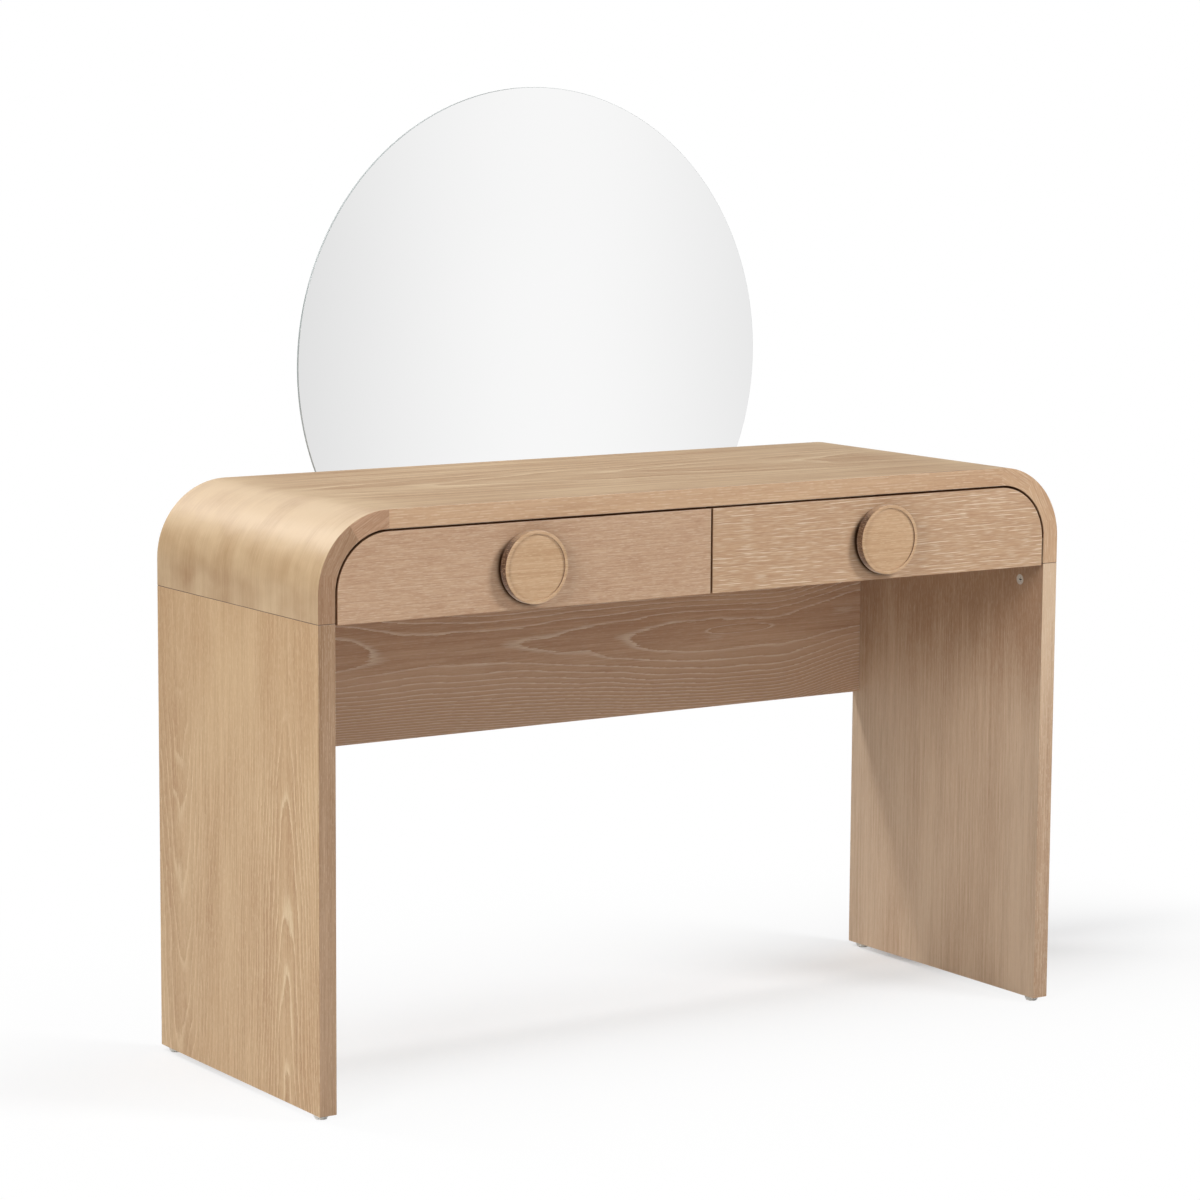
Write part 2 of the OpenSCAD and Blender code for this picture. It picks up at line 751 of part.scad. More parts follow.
module left_drawer_front() on_side(-1) drawer_front();
module left_box_front() on_side(-1) box_front();
module left_box_back() on_side(-1) box_back();
module left_box_outer_side() on_side(-1) box_outer_side();
module left_box_inner_side() on_side(-1) box_inner_side();
module left_box_floor() on_side(-1) box_floor();
module left_box_screws() on_side(-1) box_screws();
module left_front_screws() on_side(-1) front_screws();
module left_drawer_rail_outer() on_side(-1) drawer_rail_outer();
module left_drawer_rail_inner() on_side(-1) drawer_rail_inner();
module left_rail_screws() on_side(-1) rail_screws();
module left_knob() on_side(-1) knob();
module left_knob_hub() on_side(-1) knob_hub();
module left_knob_screws() on_side(-1) knob_screws();

module right_drawer_front() on_side(1) drawer_front();
module right_box_front() on_side(1) box_front();
module right_box_back() on_side(1) box_back();
module right_box_outer_side() on_side(1) box_outer_side();
module right_box_inner_side() on_side(1) box_inner_side();
module right_box_floor() on_side(1) box_floor();
module right_box_screws() on_side(1) box_screws();
module right_front_screws() on_side(1) front_screws();
module right_drawer_rail_outer() on_side(1) drawer_rail_outer();
module right_drawer_rail_inner() on_side(1) drawer_rail_inner();
module right_rail_screws() on_side(1) rail_screws();
module right_knob() on_side(1) knob();
module right_knob_hub() on_side(1) knob_hub();
module right_knob_screws() on_side(1) knob_screws();

// Round mirror glass behind the desk's rear face
module mirror_glass() color(silver) {
    translate([0, glass_y, mirror_z]) along_y() cylinder(d = mirror_d, h = mirror_t, $fn = 180);
}

// Adhesive strips between the glass and the backing board
module mirror_tape() color(nylon) {
    for (x = tape_xs) {
        half_l = chord(backing_r, abs(x) + tape_w / 2) - tape_short;
        block([x - tape_w / 2, glass_y + mirror_t, mirror_z - half_l],
              [x + tape_w / 2, backing_y, mirror_z + half_l]);
    }
}

// Places its children at the screws between the uprights and the backing board, point along -Z
module at_mirror_screws() {
    for (s = [-1, 1], z = mirror_screw_zs)
        translate([s * upright_x, upright_y + upright_t, z]) along_y() children();
}

module mirror_screw_bore() {
    flat_screw(mirror_screw_d, upright_t + mirror_screw_bite, mirror_screw_head_d, mirror_screw_head_h,
               bore_play);
}

module mirror_backing() color(backing_grey) difference() {
    translate([0, backing_y, mirror_z]) along_y() cylinder(r = backing_r, h = backing_t);
    at_mirror_screws() mirror_screw_bore();
}

// Places its children at the uprights' bolts, point along -Z
module at_bolts(s) {
    for (z = bolt_zs) translate([s * upright_x, upright_y + upright_t, z]) along_y() children();
}

module bolt(play) {
    flat_screw(bolt_d, upright_t + spacer_t + bolt_bite, bolt_head_d, bolt_head_h, play);
}

// Upright with round ends, from the back panel up behind the mirror
module upright(s) color(veneer_inside) difference() {
    translate([s * upright_x, 0, 0]) extrude_y(upright_y, upright_y + upright_t) {
        translate([-upright_w / 2, upright_z0]) square([upright_w, upright_z1 - upright_z0 - upright_w / 2]);
        translate([0, upright_z1 - upright_w / 2]) circle(d = upright_w);
    }
    at_bolts(s) bolt(bore_play);
    at_mirror_screws() mirror_screw_bore();
}

module mirror_upright_left() upright(-1);
module mirror_upright_right() upright(1);

// Spacer between the back panel and an upright, below the glass
module spacer(s) color(veneer_inside) difference() {
    block([s * upright_x - upright_w / 2, rear_y, upright_z0],
          [s * upright_x + upright_w / 2, upright_y, spacer_z1]);
    at_bolts(s) bolt(bore_play);
}

module mirror_spacer_left() spacer(-1);
module mirror_spacer_right() spacer(1);

module mirror_bolts() color(zinc) {
    for (s = [-1, 1]) at_bolts(s) difference() {
        bolt(0);
        translate([0, 0, -hex_deep]) cylinder(d = hex_d, h = hex_deep + cut, $fn = 6);
    }
}

// Threaded sleeves in the back panel that the bolts screw into
module mirror_bolt_sleeves() color(brass) {
    for (s = [-1, 1], z = bolt_zs)
        translate([s * upright_x, rear_y - sleeve_l, z]) along_y() difference() {
            cylinder(d = sleeve_d, h = sleeve_l);
            translate([0, 0, -cut]) cylinder(d = bolt_d + 2 * bore_play, h = sleeve_l + 2 * cut);
        }
}

module mirror_screws() color(zinc) {
    at_mirror_screws()
        cross_screw(mirror_screw_d, upright_t + mirror_screw_bite, mirror_screw_head_d, mirror_screw_head_h);
}

top_shell();
left_leg();
right_leg();
back_panel();
centre_partition();
wood_dowels();
cam_pins();
cam_locks();
partition_screws();
glide_front_left();
glide_front_right();
glide_rear_left();
glide_rear_right();
glide_nails();
left_case_rail_outer();
left_case_rail_inner();
right_case_rail_inner();
right_case_rail_outer();
case_rail_screws();
mirror_glass();
mirror_tape();
mirror_backing();
mirror_upright_left();
mirror_upright_right();
mirror_spacer_left();
mirror_spacer_right();
mirror_bolts();
mirror_bolt_sleeves();
mirror_screws();
left_middle_rails();
right_middle_rails();
left_drawer_front();
left_box_front();
left_box_back();
left_box_outer_side();
left_box_inner_side();
left_box_floor();
left_box_screws();
left_front_screws();
left_drawer_rail_outer();
left_drawer_rail_inner();
left_rail_screws();
left_knob();
left_knob_hub();
left_knob_screws();
right_drawer_front();
right_box_front();
right_box_back();
right_box_outer_side();
right_box_inner_side();
right_box_floor();
right_box_screws();
right_front_screws();
right_drawer_rail_outer();
right_drawer_rail_inner();
right_rail_screws();
right_knob();
right_knob_hub();
right_knob_screws();
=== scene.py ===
"""Vanity desk with a waterfall top, two drawers and a round frameless mirror, dressed for its looks.

Metres. X runs across the desk, Y from the drawer fronts to the mirror, Z up from the floor.
"""

import bmesh
import bpy
import json
import math
from mathutils import Matrix, Vector

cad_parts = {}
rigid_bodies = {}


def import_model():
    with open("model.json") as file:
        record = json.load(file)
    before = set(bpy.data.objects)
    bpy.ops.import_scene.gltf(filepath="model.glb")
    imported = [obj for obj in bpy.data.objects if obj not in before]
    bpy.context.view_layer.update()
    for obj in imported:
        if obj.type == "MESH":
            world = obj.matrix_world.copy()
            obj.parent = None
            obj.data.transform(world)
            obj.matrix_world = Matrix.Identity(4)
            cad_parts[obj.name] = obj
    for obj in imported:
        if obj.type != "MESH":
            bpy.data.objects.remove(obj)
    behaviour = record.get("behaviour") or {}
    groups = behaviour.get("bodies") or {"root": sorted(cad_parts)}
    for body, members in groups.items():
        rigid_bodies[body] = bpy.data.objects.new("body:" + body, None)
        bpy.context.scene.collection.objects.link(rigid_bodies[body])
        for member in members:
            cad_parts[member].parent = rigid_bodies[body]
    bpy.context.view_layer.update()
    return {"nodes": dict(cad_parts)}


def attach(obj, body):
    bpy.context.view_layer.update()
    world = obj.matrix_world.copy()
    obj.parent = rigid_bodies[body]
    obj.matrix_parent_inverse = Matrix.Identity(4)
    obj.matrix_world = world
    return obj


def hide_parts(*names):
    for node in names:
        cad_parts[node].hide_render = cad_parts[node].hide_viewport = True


for thing in list(bpy.data.objects):
    bpy.data.objects.remove(thing)
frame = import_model()
nodes = frame["nodes"]

# The desk's main sizes, as in the CAD model
HALF_W, FRONT, REAR, TOP, SEAM = 0.600, -0.228, 0.208, 0.777, 0.637
PANEL, CORNER = 0.025, 0.078
INNER, UNDER = HALF_W - PANEL, TOP - PANEL
OUTER_R = CORNER + PANEL
ARC_X, ARC_Z = INNER - CORNER, UNDER - CORNER
KNOB_X, KNOB_Z, KNOB_R, KNOB_T, KNOB_GAP = 0.28675, 0.691, 0.048, 0.013, 0.004
KNOB_RIM, KNOB_RECESS = 0.005, 0.0025
GLASS_Y, GLASS_T, GLASS_R, GLASS_Z = 0.210, 0.004, 0.382, 0.918
# Eased edge of the veneered boards, and the shortest edge that is eased
EASED, SHORTEST = 0.0008, 0.002

# Depth in the block of veneer at which each sheet is cut. Another depth shows another grain
TOP_INSIDE, TOP_EDGE, SIDE_BAND, CORNER_BAND = 0.7, 1.3, 1.6, 2.1
LEFT_LEG, RIGHT_LEG, BACK_PANEL, LEFT_FRONT, RIGHT_FRONT = 3.0, 5.0, 7.0, 9.0, 11.0
# How much deeper than a board's first face its other face, its edges and a leg's ends are cut
OTHER_FACE, BOARD_EDGES, LEG_ENDS = 0.13, 0.4, 0.8

# Kinds of node that are used most. Their inputs in order: for NOISE the place, scale, detail and roughness,
# for RANGE the value, its two limits and the result's two limits, for MIX the share and the two ends
MATH, VECTOR, NOISE = "ShaderNodeMath", "ShaderNodeVectorMath", "ShaderNodeTexNoise"
RANGE, MIX, JOIN = "ShaderNodeMapRange", "ShaderNodeMix", "ShaderNodeCombineXYZ"
SPLIT, COORDS, BUMP = "ShaderNodeSeparateXYZ", "ShaderNodeTexCoord", "ShaderNodeBump"
SHADER = "ShaderNodeBsdfPrincipled"
# Setting of a range that eases in and out
SOFT = {"interpolation_type": "SMOOTHSTEP"}
WHITE = (1.0, 1.0, 1.0, 1.0)


def colour(code):
    """sRGB hex as linear light."""
    parts = [int(code[i:i + 2], 16) / 255 for i in (1, 3, 5)]
    return tuple(c / 12.92 if c <= 0.04045 else ((c + 0.055) / 1.055) ** 2.4 for c in parts) + (1.0,)


def add(tree, kind, *inputs, **settings):
    """A node with its settings by name and its inputs in order: values, sockets or nodes. A dict among them
    gives inputs by name."""
    node = tree.nodes.new(kind)
    for name, value in settings.items():
        setattr(node, name, value)
    ready = [socket for socket in node.inputs if socket.enabled]
    pairs = []
    for index, value in enumerate(inputs):
        if isinstance(value, dict):
            pairs += [(node.inputs[name], part) for name, part in value.items()]
        else:
            pairs.append((ready[index], value))
    for socket, value in pairs:
        if isinstance(value, bpy.types.Node):
            value = next(output for output in value.outputs if output.enabled)
        if isinstance(value, bpy.types.NodeSocket):
            tree.links.new(value, socket)
        else:
            socket.default_value = value
    return node


def new_finish(name):
    """Material with an empty tree, and its tree."""
    material = bpy.data.materials.new(name)
    material.use_nodes = True
    material.node_tree.nodes.clear()
    return material, material.node_tree


def close_finish(tree, shader):
    """Joins the last shader to the material's output."""
    add(tree, "ShaderNodeOutputMaterial", shader)


# Limed ash

def board_place(tree, axes):
    """Along the grain, across it, and the sheet's depth: from a board's own attribute or object axes."""
    if axes == "veneer":
        own = add(tree, "ShaderNodeAttribute", attribute_name="veneer")
        return tuple(add(tree, SPLIT, own.outputs["Vector"]).outputs)
    split = add(tree, SPLIT, add(tree, COORDS).outputs["Object"])
    return tuple(split.outputs["xyz".index(axis)] for axis in axes)


def stretched(tree, place, along, across, deep=1.0):
    """The board's place in units of a pattern's real length, width and depth in metres."""
    return add(tree, VECTOR, place, (1 / along, 1 / across, 1 / deep), operation="MULTIPLY")


def column(tree, s, t, middle, blunt, slope, gap, start, way):
    """Ring count of one flame of flat-cut veneer, and the distance from its line t = middle. Its tips lie
    on that line, gap / slope apart, and open along the grain in the direction of way."""
    off = add(tree, MATH, t, middle, operation="SUBTRACT")
    squared = add(tree, MATH, off, off, blunt * blunt, operation="MULTIPLY_ADD")
    reach = add(tree, MATH, squared, operation="SQRT")
    along = add(tree, MATH, s, start, operation="SUBTRACT")
    run = add(tree, MATH, along, -way * slope, reach, operation="MULTIPLY_ADD")
    count = add(tree, MATH, add(tree, MATH, run, blunt, operation="SUBTRACT"), gap, operation="DIVIDE")
    return count, add(tree, MATH, off, operation="ABSOLUTE")


# Each figure gives the ring count, how strongly rings show, a shift of the tone (above 0 is darker) and how
# lively the fibres are. s runs along the grain and t across it. The count takes in the rings' wander

def outer_leg_figure(tree, s, t, wander):
    """Two flames side by side: the rear one opens upwards and the front one downwards, with straight rings
    between. That is the left leg. The right leg looks the same from outside, so there they change places."""
    rear, rear_off = column(tree, s, t, middle=0.149, blunt=0.040, slope=0.087, gap=0.0080, start=0.315,
                            way=1)
    front, front_off = column(tree, s, t, middle=-0.145, blunt=0.044, slope=0.048, gap=0.0060, start=0.401,
                              way=-1)
    side = add(tree, MATH, t, 0.0, operation="GREATER_THAN")
    count = add(tree, MIX, side, front, rear)
    off = add(tree, MIX, side, front_off, rear_off)
    # The rings show most near the flames' lines, less in the rear one, and fade towards the top
    strength = add(tree, RANGE, off, 0.030, 0.110, 1.0, 0.55, **SOFT)
    strength = add(tree, MATH, strength, add(tree, MIX, side, 1.0, 0.6), operation="MULTIPLY")
    fading = add(tree, RANGE, s, 0.38, 0.53, 1.0, 0.25, **SOFT)
    strength = add(tree, MATH, strength, fading, operation="MULTIPLY")
    # A paler strip runs between the flames, and the fibres are calmer towards the top
    middle = add(tree, RANGE, add(tree, MATH, t, operation="ABSOLUTE"), 0.01, 0.07, -0.16, 0.0, **SOFT)
    lively = add(tree, RANGE, s, 0.40, 0.60, 1.0, 0.6, **SOFT)
    return add(tree, MATH, wander, 90.0, count, operation="MULTIPLY_ADD"), strength, middle, lively


def top_figure(tree, s, t, wander):
    """One long low flame along the top that opens to the right. It fades out over the corners, where soft
    bands cross the grain."""
    count, off = column(tree, s, t, middle=-0.01, blunt=0.14, slope=0.05, gap=0.0140, start=-0.56, way=1)
    out = add(tree, MATH, s, operation="ABSOLUTE")
    # The rings are weaker on the flame's own line and far from it, and go out over the corners
    near = add(tree, MATH, add(tree, RANGE, off, 0.005, 0.05, 0.5, 1.0, **SOFT),
               add(tree, RANGE, off, 0.08, 0.21, 1.0, 0.5, **SOFT), operation="MULTIPLY")
    bend = add(tree, RANGE, out, 0.42, 0.54, 0.0, 1.0, **SOFT)
    strength = add(tree, MATH, near, add(tree, MATH, 1.0, bend, operation="SUBTRACT"), operation="MULTIPLY")
    # There the ground is painted paler as light on the curve, most so high on it where the highlight lies,
    # and the fibres are calmer
    spot = add(tree, JOIN, add(tree, MATH, s, 22.0, operation="MULTIPLY"),
               add(tree, MATH, t, 13.0, operation="MULTIPLY"), 0.0)
    soft = add(tree, NOISE, spot, 1.0, 2.5, 0.5)
    bands = add(tree, MATH, add(tree, MATH, soft, 0.5, operation="SUBTRACT"), bend, operation="MULTIPLY")
    painted_light = add(tree, MATH, bend, add(tree, RANGE, out, 0.59, 0.67, -0.35, -0.12, **SOFT),
                operation="MULTIPLY")
    bands = add(tree, MATH, bands, 1.05, painted_light, operation="MULTIPLY_ADD")
    calm = add(tree, MATH, bend, -0.65, 1.0, operation="MULTIPLY_ADD")
    return add(tree, MATH, wander, 26.0, count, operation="MULTIPLY_ADD"), strength, bands, calm


def inner_leg_figure(tree, s, t, wander):
    """Quarter-cut sheet: almost straight rings, as far beside a flame's line. It is painted darker towards
    the top, as shade under the top and the drawers.
    """
    count, _ = column(tree, s, t, middle=0.31, blunt=0.05, slope=0.012, gap=0.0062, start=0.1, way=1)
    shade_under_top = add(tree, RANGE, s, 0.36, 0.62, -0.22, 0.62, **SOFT)
    return add(tree, MATH, wander, 110.0, count, operation="MULTIPLY_ADD"), 0.45, shade_under_top, 0.8


def plain_figure(tree, s, t, wander):
    """Straight rings a few millimetres apart."""
    count = add(tree, MATH, t, 0.0052, operation="DIVIDE")
    return add(tree, MATH, wander, 130.0, count, operation="MULTIPLY_ADD"), 0.55, 0.0, 1.0


def knob_wall_figure(tree, s, t, wander):
    """Turned wall: dark end grain at the knob's side, which fades towards its top and bottom. It goes on the
    knobs' left walls only, so part of its dark is painted shade. t is the height above the knob's centre."""
    count, strength, _, lively = plain_figure(tree, s, t, wander)
    off = add(tree, MATH, t, operation="ABSOLUTE")
    return count, strength, add(tree, RANGE, off, 0.028, 0.047, 0.45, -0.65, **SOFT), lively


def leg_band_figure(foot, head):
    """Straight rings on an upright strip whose tone changes from its foot to its head."""
    def figure(tree, s, t, wander):
        count, strength, _, lively = plain_figure(tree, s, t, wander)
        return count, strength, add(tree, RANGE, s, 0.10, 0.60, foot, head), lively
    return figure


def back_panel_figure(tree, s, t, wander):
    """Flat-cut sheet with two loops that face each other over a saddle, an eye in the right one, and dense
    straight rings below."""
    # The rings are the contour lines of a ridge along the sheet, which dips to a saddle between the loops
    drift = add(tree, MATH, s, -0.038, 0.512, operation="MULTIPLY_ADD")
    lift = add(tree, RANGE, s, 0.40, 0.60, 0.0, 0.034, **SOFT)
    off = add(tree, MATH, t, add(tree, MATH, drift, lift, operation="ADD"), operation="SUBTRACT")
    squared = add(tree, MATH, off, off, operation="MULTIPLY")
    fall = add(tree, MATH, squared, -1 / 0.0009, operation="MULTIPLY")
    right = add(tree, RANGE, s, -0.10, 0.26, -1.4, 0.34, **SOFT)
    left = add(tree, RANGE, s, -0.15, -0.42, 0.0, 1.35, **SOFT)
    crest = add(tree, MATH, right, left, operation="ADD")
    height = add(tree, MATH, crest, fall, operation="ADD")
    # The eye is a small bump on the ridge
    eye_off = add(tree, VECTOR, add(tree, JOIN, s, t, 0.0), (0.356, 0.510, 0.0), operation="SUBTRACT")
    eye_far = add(tree, VECTOR, eye_off, (1 / 0.062, 1 / 0.007, 0.0), operation="MULTIPLY")
    eye_far = add(tree, VECTOR, eye_far, eye_far, operation="DOT_PRODUCT").outputs["Value"]
    eye = add(tree, RANGE, eye_far, 0.0, 1.6, 0.85, 0.0, **SOFT)
    level = add(tree, MATH, height, eye, operation="ADD")
    count = add(tree, MATH, level, -1 / 0.9, -0.12, operation="MULTIPLY_ADD")
    # Below the loops the rings are stronger. The ground is painted paler there, as light from the floor, and
    # darker higher up, as shade under the top
    strength = add(tree, RANGE, t, 0.49, 0.42, 1.0, 2.7, **SOFT)
    painted_light = add(tree, RANGE, t, 0.54, 0.42, 0.22, -1.0, **SOFT)
    return add(tree, MATH, wander, 55.0, count, operation="MULTIPLY_ADD"), strength, painted_light, 1.0


def painted_knob_shade(tree, s, t):
    """1 on the disc of a drawer front that its knob covers, and fading over the next centimetre. Dark matt
    colour is painted there as shade, so that the gap behind the knob reads dark, apart from the top, where
    light gets in. Both faces of a front have one finish, so the painted shade shows on the inner face as
    well."""
    off = add(tree, MATH, add(tree, MATH, s, operation="ABSOLUTE"), KNOB_X, operation="SUBTRACT")
    rise = add(tree, MATH, t, KNOB_Z, operation="SUBTRACT")
    far = add(tree, VECTOR, add(tree, JOIN, off, rise, 0.0), operation="LENGTH").outputs["Value"]
    covered = add(tree, RANGE, far, KNOB_R - 0.0005, KNOB_R + 0.0105, 1.0, 0.0)
    covered = add(tree, MATH, covered, 2.5, operation="POWER")
    below = add(tree, RANGE, rise, 0.012, 0.044, 1.0, 0.0, **SOFT)
    return add(tree, MATH, covered, below, operation="MULTIPLY")


def pore_dashes(tree, place, depth, s, t, length, gap, width):
    """Pores in rows along the grain, a gap apart, each row broken into dashes of about the given length,
    with finer specks between them. They are drawn 2 to 4 times as wide as the real 0.3 mm."""
    sway = add(tree, NOISE, stretched(tree, place, 0.40, 0.12), 1.0, 1.0, 0.5)
    row = add(tree, MATH, add(tree, MATH, t, gap, operation="DIVIDE"),
              add(tree, MATH, sway, 3.0, operation="MULTIPLY"), operation="ADD")
    which = add(tree, MATH, row, operation="FLOOR")
    within = add(tree, MATH, add(tree, MATH, row, operation="FRACT"), 0.5, operation="SUBTRACT")
    # Each row reads its breaks from another line of the noise
    line = add(tree, JOIN, add(tree, MATH, s, 1 / length, operation="MULTIPLY"),
               add(tree, MATH, which, 5.37, operation="MULTIPLY"), depth)
    breaks = add(tree, NOISE, line, 1.0, 1.0, 0.5)
    present = add(tree, RANGE, breaks, 0.50, 0.58, 0.0, 1.0)
    drift = add(tree, MATH, add(tree, MATH, breaks, 0.5, operation="SUBTRACT"), 0.12, within,
                operation="MULTIPLY_ADD")
    off = add(tree, MATH, drift, operation="ABSOLUTE")
    core = add(tree, RANGE, off, width * 0.35, width, 1.0, 0.0)
    dash = add(tree, MATH, core, present, operation="MULTIPLY")
    fine = add(tree, NOISE, stretched(tree, place, length * 0.5, 0.0013, 0.004), 1.0, 1.0, 0.5)
    specks = add(tree, RANGE, fine, 0.50, 0.68, 0.0, 1.0)
    return add(tree, MATH, specks, 0.35, dash, operation="MULTIPLY_ADD")


def limed_ash(name, figure, light, dark, lime, axes="veneer", clouds=0.7, streaks=0.5, late=0.22, lines=0.5,
              line_share=0.22, pores=0.4, pore_length=0.014, pore_rows=0.0040, pore_width=0.22, gloss=0.42,
              shine=0.4, fibres=1.3, fibre_length=0.05, streak_width=0.009, ragged_by=0.45, shaded=None):
    """Brushed ash veneer with lime in its pores, under a satin lacquer: pale dashes and ring lines on a
    warm beige ground, cloudy from sheet to sheet, with a soft sheen and a faint relief of the grain.

    clouds, streaks and fibres say how much the tone changes over a hand's width, a finger's width and a
    millimetre, late how dark the late wood is, lines and pores how much lime shows in rings and pores, and
    ragged_by how far the fibres fray a ring. shaded gives the part where dark matt colour is painted as
    shade."""
    material, tree = new_finish(name)
    s, t, depth = board_place(tree, axes)
    place = add(tree, JOIN, s, t, depth)
    # The rings wander by some millimetres over a hand's width
    slow = add(tree, NOISE, stretched(tree, place, 0.22, 0.07), 1.0, 2.0, 0.55)
    wander = add(tree, MATH, add(tree, MATH, slow, 0.5, operation="SUBTRACT"), 0.035, operation="MULTIPLY")
    count, strength, bands, lively = figure(tree, s, t, wander)
    # Fibres: real ones are 0.1 to 0.3 mm wide, drawn at 1 to 2 mm so that they show
    fibre = add(tree, NOISE, stretched(tree, place, fibre_length, 0.0012, 0.01), 1.0, 2.0, 0.6)
    strand = add(tree, NOISE, stretched(tree, place, fibre_length * 3.2, 0.0027, 0.02), 1.0, 2.0, 0.5)
    ragged = add(tree, MATH, add(tree, MATH, fibre, 0.5, operation="SUBTRACT"), ragged_by, count,
                 operation="MULTIPLY_ADD")
    ring = add(tree, MATH, ragged, operation="FRACT")
    early = add(tree, RANGE, ring, 0.0, line_share, 1.0, 0.0, **SOFT)
    latewood = add(tree, MATH, ring, 2.2, operation="POWER")
    # Tone
    cloud = add(tree, NOISE, stretched(tree, place, 0.30, 0.075), 1.0, 2.0, 0.5)
    streak = add(tree, NOISE, stretched(tree, place, 0.50, streak_width), 1.0, 2.0, 0.6)
    tone = add(tree, MATH, add(tree, MATH, cloud, 0.5, operation="SUBTRACT"), clouds * 2.4, 0.45,
               operation="MULTIPLY_ADD")
    # The figure's tone shift, which holds painted light and shade on the curved corners, the back panel and
    # the inner faces of the legs
    tone = add(tree, MATH, tone, bands, operation="ADD")
    grain = add(tree, MATH, add(tree, MATH, fibre, strand, operation="ADD"), 1.0, operation="SUBTRACT")
    grain = add(tree, MATH, add(tree, MATH, streak, 0.5, operation="SUBTRACT"), streaks * 2.0,
                add(tree, MATH, grain, fibres, operation="MULTIPLY"), operation="MULTIPLY_ADD")
    tone = add(tree, MATH, grain, lively, tone, operation="MULTIPLY_ADD", use_clamp=True)
    shade = add(tree, MATH, add(tree, MATH, latewood, strength, operation="MULTIPLY"), late, tone,
                operation="MULTIPLY_ADD", use_clamp=True)
    ground = add(tree, MIX, shade, colour(light), colour(dark), data_type="RGBA")
    # Lime in the early wood of a ring and in the pores
    broken = add(tree, RANGE, fibre, 0.30, 0.62, 0.35, 1.0)
    line = add(tree, MATH, early, broken, operation="MULTIPLY")
    line = add(tree, MATH, line, strength, operation="MULTIPLY")
    line = add(tree, MATH, line, lines, operation="MULTIPLY")
    dashes = pore_dashes(tree, place, depth, s, t, pore_length, pore_rows, pore_width)
    dots = add(tree, MATH, dashes, pores, operation="MULTIPLY")
    filled = add(tree, MATH, line, dots, operation="ADD", use_clamp=True)
    filled = add(tree, MATH, filled, 0.85, operation="MINIMUM")
    wood = add(tree, MIX, filled, ground, colour(lime), data_type="RGBA")
    # Painted shade: dark matt colour, with no lacquer sheen, where shaded gives it
    if shaded:
        painted_shade = shaded(tree, s, t)
        wood = add(tree, MIX, painted_shade, wood, colour("#3E2817"), data_type="RGBA")
        shine = add(tree, MATH, painted_shade, -shine, shine, operation="MULTIPLY_ADD")
    # Brushed relief, soft swells where the veneer is bent, and a lacquer a little duller over the pores
    relief = add(tree, MATH, add(tree, MATH, fibre, 0.6, operation="MULTIPLY"), dots, operation="ADD")
    relief = add(tree, MATH, bands, 14.0, relief, operation="MULTIPLY_ADD")
    bump = add(tree, BUMP, {"Strength": 0.18, "Distance": 0.0004, "Height": relief})
    dull = add(tree, MATH, filled, 0.14, gloss, operation="MULTIPLY_ADD")
    close_finish(tree, add(tree, SHADER, {"Base Color": wood, "Roughness": dull, "Normal": bump, "IOR": 1.5,
                                          "Specular IOR Level": shine}))
    return material


ash_top = limed_ash(
    "limed_ash_top", top_figure, "#CEB18B", "#A07850", "#DCC6A2", clouds=0.5, streaks=0.8, late=0.45,
    lines=0.75, pores=0.18, pore_length=0.02, gloss=0.35, shine=0.6, fibres=1.0, streak_width=0.020,
    ragged_by=0.15)
ash_outer_leg = limed_ash(
    "limed_ash_leg_outside", outer_leg_figure, "#CFAE85", "#B38B63", "#E6CEA8", late=0.4, lines=0.9,
    line_share=0.30, pores=0.38, pore_rows=0.0033, pore_width=0.20, pore_length=0.012)
ash_inner_leg = limed_ash(
    "limed_ash_leg_inside", inner_leg_figure, "#D3B99E", "#A68367", "#DECDB6", lines=0.2, pores=0.35,
    pore_width=0.12, pore_rows=0.0034, clouds=0.4, streaks=0.1, late=0.12, shine=0.15, fibres=1.1)
ash_left_front = limed_ash(
    "limed_ash_left_front", plain_figure, "#C3A284", "#AC8668", "#D8C2AA", lines=0.12, clouds=0.3,
    streaks=0.1, pores=0.46, pore_rows=0.0029, pore_width=0.15, fibres=1.8, fibre_length=0.016,
    shaded=painted_knob_shade)
ash_right_front = limed_ash(
    "limed_ash_right_front", plain_figure, "#C2A07F", "#AA8363", "#EEDEC6", lines=0.1, clouds=0.3,
    streaks=0.2, pores=0.80, pore_length=0.046, pore_rows=0.0056, pore_width=0.075, fibres=1.4,
    fibre_length=0.02, shaded=painted_knob_shade)
ash_back = limed_ash(
    "limed_ash_back_panel", back_panel_figure, "#CBA78A", "#AE8567", "#E4D2BD", clouds=0.5, late=0.24,
    lines=0.9, line_share=0.24, pores=0.14)
ash_band = limed_ash(
    "ash_edge_band", plain_figure, "#CCAA89", "#B79171", "#DEC8AC", lines=0.15, clouds=0.3, pores=0.4,
    pore_length=0.016, pore_rows=0.0036, shine=0.15)
# The pieced bands round the corners and down the legs are of plainer wood, each in its own tone
pieced = dict(lines=0.1, clouds=0.4, pores=0.35, pore_length=0.010, pore_rows=0.0030, shine=0.15)
ash_corner_band = limed_ash("ash_corner_band", plain_figure, "#A68569", "#8D6B50", "#BD9E86", **pieced)
ash_mid_band = limed_ash("ash_corner_band_upper", plain_figure, "#BC977B", "#A37D5F", "#CCB29A", **pieced)
ash_low_band = limed_ash("ash_corner_band_middle", plain_figure, "#AD8C70", "#927156", "#C2A58C", **pieced)
ash_left_band = limed_ash("ash_left_leg_band", leg_band_figure(-0.35, 0.30), "#B4967A", "#957558", "#C9AE96",
                          **dict(pieced, clouds=0.5))
ash_right_band = limed_ash("ash_right_leg_band", leg_band_figure(0.45, -0.35), "#D2B699", "#B39276",
                           "#E2CFB6", **dict(pieced, pores=0.4))
